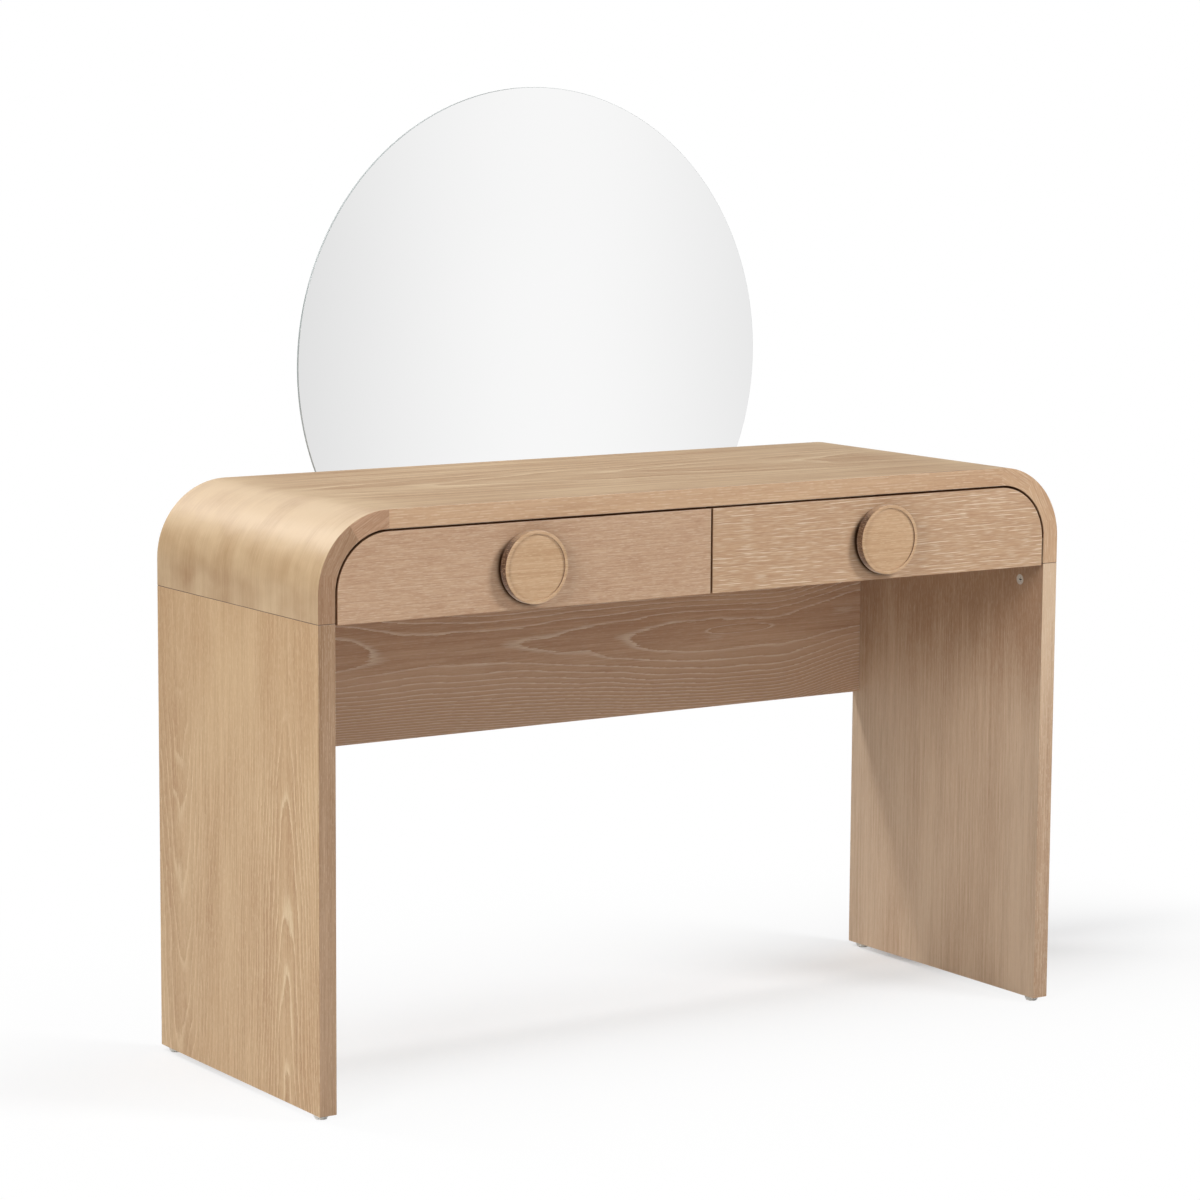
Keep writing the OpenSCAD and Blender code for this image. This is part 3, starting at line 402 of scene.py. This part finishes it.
ash_turned = limed_ash(
    "turned_ash", plain_figure, "#CDAA87", "#B6906B", "#E0C9A8", lines=0.15, clouds=0.4, pores=0.35,
    pore_length=0.012, pore_rows=0.0026, shine=0.3)
# End grain drinks the stain, and its pores show as dots. Only the knobs' left walls get this finish, and
# their extra dark over the right walls is painted shade
ash_end_and_shade = limed_ash(
    "turned_ash_end_grain_and_shade", knob_wall_figure, "#C09B78", "#5C4130", "#C2A080", lines=0.1, clouds=0.2,
    streaks=0.1, pores=0.5, pore_length=0.003, pore_rows=0.0024, shine=0.1, fibres=0.8, fibre_length=0.002)
# The drawer fronts' edges and the inside of the top stay matt and are painted dark as shade, so that the
# reveals read dark
ash_edge_shaded = limed_ash(
    "ash_front_edge_shaded", plain_figure, "#8E6D53", "#765740", "#A5876C", lines=0.1, pores=0.3,
    pore_length=0.012, pore_rows=0.0030, shine=0.0)
ash_inside = {axes: limed_ash("ash_inside_" + axes, plain_figure, "#C3A07F", "#AC8767", "#D6BEA2",
                              axes=axes, lines=0.2, pores=0.3) for axes in ("yzx", "zxy", "xzy")}


# Other finishes

def plywood(name, axes):
    """Birch plywood of the drawer boxes: pale, almost without figure, with a raw sanded face."""
    material, tree = new_finish(name)
    place = add(tree, JOIN, *board_place(tree, axes))
    streak = add(tree, NOISE, stretched(tree, place, 0.16, 0.006, 0.02), 1.0, 3.0, 0.6)
    cloud = add(tree, NOISE, stretched(tree, place, 0.12, 0.05, 0.05), 1.0, 2.0, 0.5)
    tone = add(tree, MATH, add(tree, MATH, streak, cloud, operation="ADD"), 0.9, -0.4,
               operation="MULTIPLY_ADD", use_clamp=True)
    wood = add(tree, MIX, tone, colour("#E0C8A2"), colour("#CDB086"), data_type="RGBA")
    bump = add(tree, BUMP, {"Strength": 0.1, "Distance": 0.0002, "Height": streak})
    close_finish(tree, add(tree, SHADER, {"Base Color": wood, "Roughness": 0.62, "Normal": bump,
                                          "Specular IOR Level": 0.15}))
    return material


def painted_recess_shade(tree, place):
    """1 down in the drive recess of a cam lock, in a leg's inner face or the back panel's rear face, where
    dark is painted as shade.
    """
    split = add(tree, SPLIT, place)
    off = add(tree, MATH, split.outputs[0], operation="ABSOLUTE")
    in_leg = add(tree, MATH, off, INNER - 0.005, operation="GREATER_THAN")
    depth = add(tree, MIX, in_leg, add(tree, MATH, REAR, split.outputs[1], operation="SUBTRACT"),
                add(tree, MATH, off, INNER, operation="SUBTRACT"))
    return add(tree, RANGE, depth, 0.0005, 0.0012, 0.0, 1.0)


def metal(name, code, stain, rough, grain, recess_shade=None):
    """Plated or bare metal: a brushed or tumbled face whose gloss changes over a grain of the given size. A
    recess, where there is one, is painted dark as shade."""
    material, tree = new_finish(name)
    place = add(tree, COORDS).outputs["Object"]
    speck = add(tree, NOISE, place, 1 / grain, 3.0, 0.6)
    tone = add(tree, MIX, speck, colour(code), colour(stain), data_type="RGBA")
    # Painted shade: dark colour down in the recess
    if recess_shade:
        tone = add(tree, MIX, recess_shade(tree, place), tone, colour("#3A3028"), data_type="RGBA")
    dull = add(tree, RANGE, speck, 0.3, 0.7, rough - 0.06, rough + 0.08)
    bump = add(tree, BUMP, {"Strength": 0.08, "Distance": 0.0001, "Height": speck})
    close_finish(tree, add(tree, SHADER, {"Base Color": tone, "Metallic": 1.0, "Roughness": dull,
                                          "Normal": bump}))
    return material


def plain(name, code, other, rough, grain, subsurface=0.0):
    """Moulded or coated stuff with a faint mottle of the given size."""
    material, tree = new_finish(name)
    mottle = add(tree, NOISE, add(tree, COORDS).outputs["Object"], 1 / grain, 2.0, 0.5)
    tone = add(tree, MIX, mottle, colour(code), colour(other), data_type="RGBA")
    bump = add(tree, BUMP, {"Strength": 0.1, "Distance": 0.0001, "Height": mottle})
    close_finish(tree, add(tree, SHADER, {
        "Base Color": tone, "Roughness": rough, "Normal": bump, "IOR": 1.5, "Subsurface Weight": subsurface,
        "Subsurface Radius": (0.004, 0.004, 0.004), "Subsurface Scale": 1.0}))
    return material


def mirror_silver():
    """Silvered float glass: a clean mirror that takes away next to nothing."""
    material, tree = new_finish("silvered_glass")
    haze = add(tree, NOISE, add(tree, COORDS).outputs["Object"], 3.0, 1.0, 0.5)
    tint = add(tree, MIX, haze, colour("#FCFCFC"), colour("#F9F9F9"), data_type="RGBA")
    close_finish(tree, add(tree, SHADER, {"Base Color": tint, "Metallic": 1.0, "Roughness": 0.0}))
    return material


def glass_edge():
    """Ground and polished edge of the float glass: grey with a cool green cast, satin."""
    material, tree = new_finish("polished_glass_edge")
    band = add(tree, NOISE, add(tree, COORDS).outputs["Object"], 12.0, 2.0, 0.5)
    tint = add(tree, MIX, band, colour("#8F9694"), colour("#B6BCBC"), data_type="RGBA")
    close_finish(tree, add(tree, SHADER, {"Base Color": tint, "Roughness": 0.25, "IOR": 1.52}))
    return material


zinc_steel = metal("zinc_plated_steel", "#A6A8A9", "#909395", rough=0.34, grain=0.004)
screw_steel = metal("screw_steel", "#B9B6AE", "#A29F98", rough=0.38, grain=0.002)
cam_zinc = metal("die_cast_zinc", "#D9C9B8", "#B4A595", rough=0.40, grain=0.003, recess_shade=painted_recess_shade)
sleeve_brass = metal("turned_brass", "#C9A866", "#B3914F", rough=0.32, grain=0.002)
nylon = plain("milky_nylon", "#EDEBE4", "#E2E0D8", rough=0.40, grain=0.006, subsurface=0.3)
foam = plain("adhesive_foam", "#E8E6E0", "#D9D7D1", rough=0.85, grain=0.002)
backing = plain("painted_backing_board", "#6E6A65", "#625E5A", rough=0.70, grain=0.010)
beech = plywood("beech_dowel", "zxy")
# Dark line in the joint under the shell: partly glue, partly painted shade of the seam
joint_glue_and_shade = plain("dark_joint_and_shade", "#4E3B2B", "#453424", rough=0.8, grain=0.004)
silver, edge_glass = mirror_silver(), glass_edge()
back_paint = plain("mirror_back_paint", "#8F8D8A", "#868481", rough=0.55, grain=0.02)


# Pieces

def into_scene(name, data):
    """New object in the scene."""
    piece = bpy.data.objects.new(name, data)
    bpy.context.scene.collection.objects.link(piece)
    return piece


def place_piece(name, mesh, body, slot, *replaced):
    """Puts a mesh into the scene as a piece that rides on a body and stands for its CAD nodes."""
    piece = into_scene(name, mesh)
    mesh.name = name
    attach(piece, body)
    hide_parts(*replaced)


def baked(piece):
    """The piece's mesh with its modifiers applied. The piece itself goes."""
    bpy.context.view_layer.update()
    mesh = bpy.data.meshes.new_from_object(piece.evaluated_get(bpy.context.evaluated_depsgraph_get()))
    bpy.data.objects.remove(piece)
    return mesh


def lay_veneer(mesh, finishes, rule, sharp=18):
    """Writes where each face corner lies on its sheet of veneer. rule(normal, centre) gives the number of
    the finish and a function from a point to its place along and across the grain and the sheet's depth.
    Edges above the angle sharp stay sharp."""
    mesh.materials.clear()
    for finish in finishes:
        mesh.materials.append(finish)
    layer = mesh.attributes.new("veneer", "FLOAT_VECTOR", "CORNER")
    for face in mesh.polygons:
        face.material_index, lie = rule(face.normal, face.center)
        for corner in face.loop_indices:
            layer.data[corner].vector = lie(mesh.vertices[mesh.loops[corner].vertex_index].co)
    mesh.shade_smooth()
    mesh.set_sharp_from_angle(angle=math.radians(sharp))


def ease(piece, **limit):
    """Eases the piece's edges, as far as the limit says."""
    bevel = piece.modifiers.new("eased", "BEVEL")
    bevel.width, bevel.segments = EASED, 2
    for name, value in limit.items():
        setattr(bevel, name, value)


def eased_board(name):
    """Copy of a CAD board with its loose triangles merged and its long edges eased."""
    mesh = nodes[name].data.copy()
    shape = bmesh.new()
    shape.from_mesh(mesh)
    bmesh.ops.remove_doubles(shape, verts=shape.verts, dist=1e-6)
    bmesh.ops.dissolve_limit(shape, angle_limit=math.radians(0.5), verts=shape.verts, edges=shape.edges)
    weight = shape.edges.layers.float.new("bevel_weight_edge")
    for edge in shape.edges:
        if edge.is_manifold and edge.calc_length() > SHORTEST and edge.calc_face_angle() > math.radians(40):
            edge[weight] = 1.0
    shape.to_mesh(mesh)
    shape.free()
    piece = into_scene(name + "_board", mesh)
    ease(piece, limit_method="WEIGHT", use_clamp_overlap=False)
    return baked(piece)


def waterfall_tree():
    """Geometry Nodes: a panel's section swept along a path up, over and down, round two corners."""
    tree = bpy.data.node_groups.new("waterfall", "GeometryNodeTree")
    for label in ("Half Width", "Depth", "Mid Depth", "Height", "Seam Height", "Thickness", "Inner Radius"):
        tree.interface.new_socket(name=label, in_out="INPUT", socket_type="NodeSocketFloat")
    tree.interface.new_socket(name="Arc Steps", in_out="INPUT", socket_type="NodeSocketInt")
    tree.interface.new_socket(name="Finish", in_out="INPUT", socket_type="NodeSocketMaterial")
    tree.interface.new_socket(name="Shell", in_out="OUTPUT", socket_type="NodeSocketGeometry")
    given = add(tree, "NodeGroupInput").outputs
    half = add(tree, MATH, given["Thickness"], 0.5, operation="MULTIPLY")
    x = add(tree, MATH, given["Half Width"], half, operation="SUBTRACT")
    left = add(tree, MATH, x, -1.0, operation="MULTIPLY")
    z = add(tree, MATH, given["Height"], half, operation="SUBTRACT")
    y, low = given["Mid Depth"], given["Seam Height"]
    stops = [add(tree, JOIN, *stop) for stop in ((left, y, low), (left, y, z), (x, y, z), (x, y, low))]
    chain = add(tree, "GeometryNodeMeshToCurve", add(tree, "GeometryNodeMeshLine", len(stops)))
    which = add(tree, "GeometryNodeIndexSwitch", data_type="VECTOR")
    while len(which.index_switch_items) < len(stops):
        which.index_switch_items.new()
    tree.links.new(add(tree, "GeometryNodeInputIndex").outputs[0], which.inputs[0])
    for socket, stop in zip([i for i in which.inputs if i.enabled][1:], stops):
        tree.links.new(stop.outputs[0], socket)
    path = add(tree, "GeometryNodeSetPosition", {"Geometry": chain, "Position": which})
    radius = add(tree, MATH, given["Inner Radius"], half, operation="ADD")
    bent = add(tree, "GeometryNodeFilletCurve",
               {"Curve": path, "Count": given["Arc Steps"], "Radius": radius}, mode="POLY")
    facing = add(tree, "GeometryNodeSetCurveNormal", {"Curve": bent, "Normal": (0.0, 1.0, 0.0)},
                 mode="FREE")
    section = add(tree, "GeometryNodeCurvePrimitiveQuadrilateral",
                  {"Width": given["Depth"], "Height": given["Thickness"]})
    swept = add(tree, "GeometryNodeCurveToMesh",
                {"Curve": facing, "Profile Curve": section, "Fill Caps": True})
    real = add(tree, "GeometryNodeRealizeInstances", swept)
    done = add(tree, "GeometryNodeSetMaterial", {"Geometry": real, "Material": given["Finish"]})
    add(tree, "NodeGroupOutput", done)
    return tree


def top_shell():
    """The curved top: swept panel with eased edges, its veneer running over both corners."""
    piece = into_scene("shell", bpy.data.meshes.new("shell"))
    sweep = piece.modifiers.new("waterfall", "NODES")
    sweep.node_group = waterfall_tree()
    sizes = {"Half Width": HALF_W, "Depth": REAR - FRONT, "Mid Depth": (REAR + FRONT) / 2, "Height": TOP,
             "Seam Height": SEAM, "Thickness": PANEL, "Inner Radius": CORNER, "Arc Steps": 24,
             "Finish": ash_top}
    for item in sweep.node_group.interface.items_tree:
        if item.in_out == "INPUT":
            sweep[item.identifier] = sizes[item.name]
    ease(piece, limit_method="ANGLE", angle_limit=math.radians(40))
    mesh = baked(piece)
    # The shell's inside gets the dark edge finish, painted dark as shade under the top
    finishes = [ash_top, ash_band, ash_corner_band, joint_glue_and_shade, ash_mid_band, ash_edge_shaded, ash_low_band]
    outer_face, band, side_band, joint, upper_band, inner_face, lower_band = range(len(finishes))
    # A corner's bands meet at these angles above the horizontal, and the grain of each has its own tilt
    low_turn, high_turn, low_tilt, high_tilt = 15, 58, 62, 30

    def over(p):
        """Distance along the top's surface from its middle, over the corner and down the side."""
        side = math.copysign(1.0, p.x)
        if abs(p.x) <= ARC_X:
            return p.x
        if p.z >= ARC_Z:
            return side * (ARC_X + OUTER_R * math.atan2(abs(p.x) - ARC_X, p.z - ARC_Z))
        return side * (ARC_X + OUTER_R * math.pi / 2 + ARC_Z - p.z)

    def rule(normal, centre):
        """The joint under the shell, its broad faces, then the bands on its front and rear edges."""
        # The joint's faces: a dark line that is partly glue, partly painted shade of the seam
        if normal.z < -0.3 and centre.z < SEAM + EASED:
            return joint, lambda p: (p.y, p.x, 0.0)
        if abs(normal.y) < 0.75:
            outside = abs(centre.x) > INNER or centre.z > UNDER or \
                math.hypot(abs(centre.x) - ARC_X, centre.z - ARC_Z) > CORNER + PANEL / 2
            if outside:
                return outer_face, lambda p: (over(p), p.y, 0.0)
            return inner_face, lambda p: (over(p), p.y, TOP_INSIDE)
        if abs(centre.x) <= ARC_X:
            return band, lambda p: (p.x, p.z, TOP_EDGE)
        side = math.copysign(1.0, centre.x)
        turn = math.degrees(math.atan2(centre.z - ARC_Z, max(abs(centre.x) - ARC_X, 1e-6)))
        if turn < low_turn:
            return (side_band if side < 0 else band), lambda p: (p.z, p.x, SIDE_BAND + 0.2 * side)
        upper = turn > high_turn
        tilt = math.radians(high_tilt if upper else low_tilt) * -side
        along, across = Vector((math.cos(tilt), math.sin(tilt))), Vector((-math.sin(tilt), math.cos(tilt)))
        sheet = CORNER_BAND + 0.2 * side + (0.5 if upper else 0.0)
        left_finish = upper_band if upper else lower_band
        return (left_finish if side < 0 else band), \
            lambda p: (along.dot((p.x, p.z)), across.dot((p.x, p.z)), sheet)

    lay_veneer(mesh, finishes, rule)
    place_piece("waterfall_top", mesh, "desk", "veneer", "top_shell")


def leg_panel(name, band, sheet):
    """A leg panel whose grain stands upright, with its own veneer outside and inside."""
    outside, edges, inside = range(3)

    def rule(normal, centre):
        """The upright edges, the ends, the inner face, then the outer one."""
        if abs(normal.y) > 0.75:
            return edges, lambda p: (p.z, p.x, sheet + BOARD_EDGES)
        if abs(normal.z) > 0.75:
            return edges, lambda p: (p.y, p.x, sheet + LEG_ENDS)
        if abs(centre.x) < HALF_W - PANEL / 2:
            return inside, lambda p: (p.z, p.y, sheet + OTHER_FACE)
        side = -math.copysign(1.0, centre.x)
        return outside, lambda p: (p.z, side * p.y, sheet)

    mesh = eased_board(name)
    lay_veneer(mesh, [ash_outer_leg, band, ash_inner_leg], rule)
    place_piece(name + "_panel", mesh, "desk", "veneer", name)


def long_board(name, body, slot, face_finish, band, sheet):
    """A board whose grain runs along X, with one finish on both faces: a drawer front or the back panel."""
    faces, edges = range(2)

    def rule(normal, centre):
        """The edges all round, then the two faces."""
        if abs(normal.y) < 0.75:
            return edges, lambda p: (p.x + p.z, p.y, sheet + BOARD_EDGES)
        deeper = OTHER_FACE if normal.y > 0 else 0.0
        return faces, lambda p: (p.x, p.z, sheet + deeper)

    mesh = eased_board(name)
    lay_veneer(mesh, [face_finish, band], rule)
    place_piece(name + "_board", mesh, body, slot, name)


def turned(outline, steps, middle, way, finishes=None):
    """Mesh of an outline turned about a line along Y through the middle. The outline's points give the
    radius and the distance in the direction of way. finishes has one number for each of its stretches."""
    shape = bmesh.new()
    rings = []
    for k in range(steps):
        a = 2 * math.pi * k / steps
        rings.append([shape.verts.new((middle[0] + r * math.cos(a), middle[1] + way * y,
                                       middle[2] + r * math.sin(a))) for r, y in outline])
    for k in range(steps):
        here, there = rings[k], rings[(k + 1) % steps]
        for j in range(len(outline) - 1):
            face = shape.faces.new((here[j], there[j], there[j + 1], here[j + 1]))
            face.material_index = finishes[j] if finishes else 0
    bmesh.ops.remove_doubles(shape, verts=shape.verts, dist=1e-7)
    bmesh.ops.recalc_face_normals(shape, faces=shape.faces)
    mesh = bpy.data.meshes.new("turned")
    shape.to_mesh(mesh)
    shape.free()
    return mesh


def knob(side, body):
    """Turned knob: a disc with a round-shouldered rim and a sunk face, cut from solid ash."""
    sunk, bore = KNOB_T - KNOB_RECESS, KNOB_R - KNOB_RIM
    back_edge, nick, shoulder, lip = 0.001, 0.0003, 0.0018, 0.0009
    outline = [(0.0, 0.0), (KNOB_R - back_edge, 0.0), (KNOB_R - nick, nick), (KNOB_R, back_edge)]
    for k in range(7):
        a = math.radians(15 * k)
        outline.append((KNOB_R - shoulder + shoulder * math.cos(a),
                        KNOB_T - shoulder + shoulder * math.sin(a)))
    for k in range(5):
        a = math.radians(22.5 * k)
        outline.append((bore + lip - lip * math.sin(a), KNOB_T - lip + lip * math.cos(a)))
    outline += [(bore, sunk + nick), (bore - nick, sunk), (0.0, sunk)]
    mesh = turned(outline, 160, (side * KNOB_X, FRONT - KNOB_GAP, KNOB_Z), way=-1)
    faces, left_wall, right_wall = range(3)

    def rule(normal, centre):
        """The wall to the left and right, where the grain ends, then all the rest. The left wall is painted
        darker than the right, as shade. The knobs are cut from different places in the block."""
        if abs(normal.y) < 0.5 and abs(normal.x) > 0.25:
            return (left_wall if normal.x < 0 else right_wall), lambda p: (p.y, p.z - KNOB_Z, 0.3 * side)
        return faces, lambda p: (p.x, p.z + 0.4 * side, p.y)

    lay_veneer(mesh, [ash_turned, ash_end_and_shade, ash_low_band], rule, sharp=35)
    word = "left" if side < 0 else "right"
    place_piece(word + "_turned_knob", mesh, body, "veneer", word + "_knob")


def mirror_disc():
    """Round glass with a ground arris on both edges, silvered in front and painted behind."""
    arris = 0.0005
    outline = [(0.0, 0.0), (GLASS_R - arris, 0.0), (GLASS_R, arris), (GLASS_R, GLASS_T - arris),
               (GLASS_R - arris, GLASS_T), (0.0, GLASS_T)]
    face, rim, back = range(3)
    mesh = turned(outline, 288, (0.0, GLASS_Y, GLASS_Z), way=1, finishes=(face, rim, rim, rim, back))
    for finish in (silver, edge_glass, back_paint):
        mesh.materials.append(finish)
    mesh.shade_smooth()
    mesh.set_sharp_from_angle(angle=math.radians(20))
    place_piece("round_mirror", mesh, "desk", "mirror", "mirror_glass")


top_shell()
leg_panel("left_leg", ash_left_band, LEFT_LEG)
leg_panel("right_leg", ash_right_band, RIGHT_LEG)
long_board("back_panel", "desk", "inner_veneer", ash_back, ash_band, BACK_PANEL)
# The fronts' edges get the edge finish, painted dark as shade in the reveals
long_board("left_drawer_front", "left_drawer", "veneer", ash_left_front, ash_edge_shaded, LEFT_FRONT)
long_board("right_drawer_front", "right_drawer", "veneer", ash_right_front, ash_edge_shaded, RIGHT_FRONT)
knob(-1, "left_drawer")
knob(1, "right_drawer")
mirror_disc()

# The other CAD nodes keep their shapes and get their finishes
box_ply = {axes: plywood("birch_plywood_" + axes, axes) for axes in ("xzy", "yzx", "xyz")}
kept = {"centre_partition": ash_inside["yzx"], "wood_dowels": beech, "cam_locks": cam_zinc,
        "mirror_tape": foam, "mirror_backing": backing, "mirror_bolt_sleeves": sleeve_brass}
for fixings in ("cam_pins", "partition_screws", "glide_nails", "case_rail_screws", "mirror_bolts",
                "mirror_screws"):
    kept[fixings] = screw_steel
for corner in ("front_left", "front_right", "rear_left", "rear_right"):
    kept["glide_" + corner] = nylon
for side in ("left", "right"):
    kept["mirror_upright_" + side] = kept["mirror_spacer_" + side] = ash_inside["zxy"]
    kept[side + "_knob_hub"] = ash_inside["xzy"]
    for board, axes in (("front", "xzy"), ("back", "xzy"), ("outer_side", "yzx"), ("inner_side", "yzx"),
                        ("floor", "xyz")):
        kept[side + "_box_" + board] = box_ply[axes]
    for rail in ("case_rail_outer", "case_rail_inner", "middle_rails", "drawer_rail_outer",
                 "drawer_rail_inner"):
        kept[side + "_" + rail] = zinc_steel
    for screws in ("box_screws", "front_screws", "rail_screws", "knob_screws"):
        kept[side + "_" + screws] = screw_steel
for name, finish in kept.items():
    for holder in nodes[name].material_slots:
        holder.material = finish


# Floor, light and camera

def floor():
    """Pale floor that shows white to the camera, keeps the desk's soft shadow, and fades to white away
    from the desk."""
    half = 4.0
    # The shaded paint shows through most above the centre and less away from it, quickly along Y and slowly
    # along X. From the inner to the outer limit round the desk it goes out
    centre, slowed, reach, most_shown = (0.87, 0.106, -0.02), 0.089, 0.141, 0.90
    inner_limit, outer_limit = 0.75, 1.35
    mesh = bpy.data.meshes.new("floor")
    mesh.from_pydata([(-half, -half, 0), (half, -half, 0), (half, half, 0), (-half, half, 0)], [],
                     [(0, 1, 2, 3)])
    material, tree = new_finish("pale_floor")
    paint = add(tree, "ShaderNodeBsdfDiffuse", colour("#F0F1F3"))
    seen = add(tree, "ShaderNodeLightPath").outputs
    # White to the camera, and a little less in reflections
    white = add(tree, "ShaderNodeEmission", WHITE, add(tree, MIX, seen["Is Glossy Ray"], 1.0, 0.86))
    place = add(tree, COORDS).outputs["Object"]
    spot = add(tree, VECTOR, place, centre, operation="SUBTRACT")
    spread = add(tree, VECTOR, add(tree, VECTOR, spot, (slowed, 1.0, 1.0), operation="MULTIPLY"),
                 operation="LENGTH").outputs["Value"]
    shown = add(tree, MATH, add(tree, MATH, spread, -1 / reach, operation="MULTIPLY"), operation="EXPONENT")
    far = add(tree, VECTOR, place, operation="LENGTH").outputs["Value"]
    shown = add(tree, MATH, shown, add(tree, RANGE, far, inner_limit, outer_limit, 1.0, 0.0, **SOFT),
                operation="MULTIPLY")
    fade = add(tree, MATH, shown, -most_shown, 1.0, operation="MULTIPLY_ADD")
    direct = add(tree, MATH, seen["Is Camera Ray"], seen["Is Glossy Ray"], operation="MAXIMUM")
    direct = add(tree, MATH, direct, seen["Is Transmission Ray"], operation="MAXIMUM")
    share = add(tree, MATH, direct, fade, operation="MULTIPLY")
    close_finish(tree, add(tree, "ShaderNodeMixShader", share, paint, white))
    mesh.materials.append(material)
    piece = into_scene("floor", mesh)


def lamp(name, place, aim, size, power, glare=True, wash=True):
    """Square soft light that faces a point. Without glare it leaves no bright patch on the lacquer, and
    without wash it leaves only that."""
    data = bpy.data.lights.new(name, "AREA")
    data.shape, data.size, data.energy = "SQUARE", size, power
    light = into_scene(name, data)
    light.location = place
    light.visible_glossy, light.visible_diffuse, light.visible_camera = glare, wash, False
    light.rotation_euler = (Vector(aim) - Vector(place)).to_track_quat("-Z", "Y").to_euler()


def studio():
    """World: an even pale fill, white behind the desk, and soft panels that the mirror shows."""
    # The panels are even waves of brightness round the room
    fill_level, panel_count, panel_turn, panel_low, panel_high = 0.13, 26.0, 2.45, 0.66, 0.97
    world = bpy.data.worlds.new("studio")
    bpy.context.scene.world = world
    world.use_nodes = True
    tree = world.node_tree
    tree.nodes.clear()
    way = add(tree, SPLIT, add(tree, COORDS).outputs["Generated"]).outputs
    turn = add(tree, MATH, way[0], way[1], operation="ARCTAN2")
    turn = add(tree, MATH, turn, panel_count, panel_turn, operation="MULTIPLY_ADD")
    wave = add(tree, MATH, turn, operation="COSINE")
    panels = add(tree, RANGE, wave, -1.0, 1.0, panel_low, panel_high)
    # Behind the desk it is dark near the floor and bright higher up, so that only the curves shine
    rear = add(tree, RANGE, way[2], 0.25, 0.52, 0.09, 1.6, **SOFT)
    behind = add(tree, RANGE, way[1], -0.1, 0.1, 0.0, 1.0, **SOFT)
    shown = add(tree, MIX, behind, panels, rear)
    seen = add(tree, "ShaderNodeLightPath").outputs
    fill = add(tree, MIX, seen["Is Glossy Ray"], fill_level, shown)
    level = add(tree, MIX, seen["Is Camera Ray"], fill, 1.0)
    level = add(tree, MIX, seen["Is Transmission Ray"], level, 1.0)
    add(tree, "ShaderNodeOutputWorld", add(tree, "ShaderNodeBackground", WHITE, level))


floor()
studio()
lamp("high_rear", place=(-1.4, 1.6, 3.6), aim=(0.1, 0.0, 0.3), size=0.6, power=71, glare=False)
lamp("steep_rear", place=(-0.35, 1.05, 3.6), aim=(0.1, 0.0, 0.3), size=0.8, power=6, glare=False)
lamp("front_key", place=(1.9, -2.6, 2.6), aim=(0.0, 0.0, 0.5), size=1.0, power=80)
lamp("left_front", place=(-3.05, -1.55, 2.00), aim=(-0.5, 0.0, 0.40), size=1.4, power=58)
# A near lamp behind, only for the white sheen on the curved corner
lamp("rear_sheen", place=(-0.95, 1.20, 1.60), aim=(-0.55, 0.0, 0.75), size=0.6, power=2.7, wash=False)

# The camera's place, turn and lens were fitted to the photograph
camera = into_scene("camera", bpy.data.cameras.new("camera"))
camera.data.lens = 113.88
yaw, pitch, roll = (math.radians(a) for a in (33.76, 7.90, -0.38))
camera.matrix_world = Matrix.Translation((-2.90481, -4.30675, 1.31990)) @ Matrix.Rotation(-yaw, 4, "Z") \
    @ Matrix.Rotation(math.pi / 2 - pitch, 4, "X") @ Matrix.Rotation(-roll, 4, "Z")
bpy.context.scene.camera = camera
bpy.context.scene.view_settings.view_transform = "Standard"

# The photograph's mirror shows nothing of the desk in front of it, so the desk shows in no reflection, and
# the mirror throws neither lamp light nor a shadow onto the top
for piece in bpy.data.objects:
    if piece.type == "MESH" and piece.name != "floor":
        piece.visible_glossy = False
    if "mirror" in piece.name:
        piece.visible_shadow = False
bpy.data.objects["round_mirror"].visible_diffuse = False
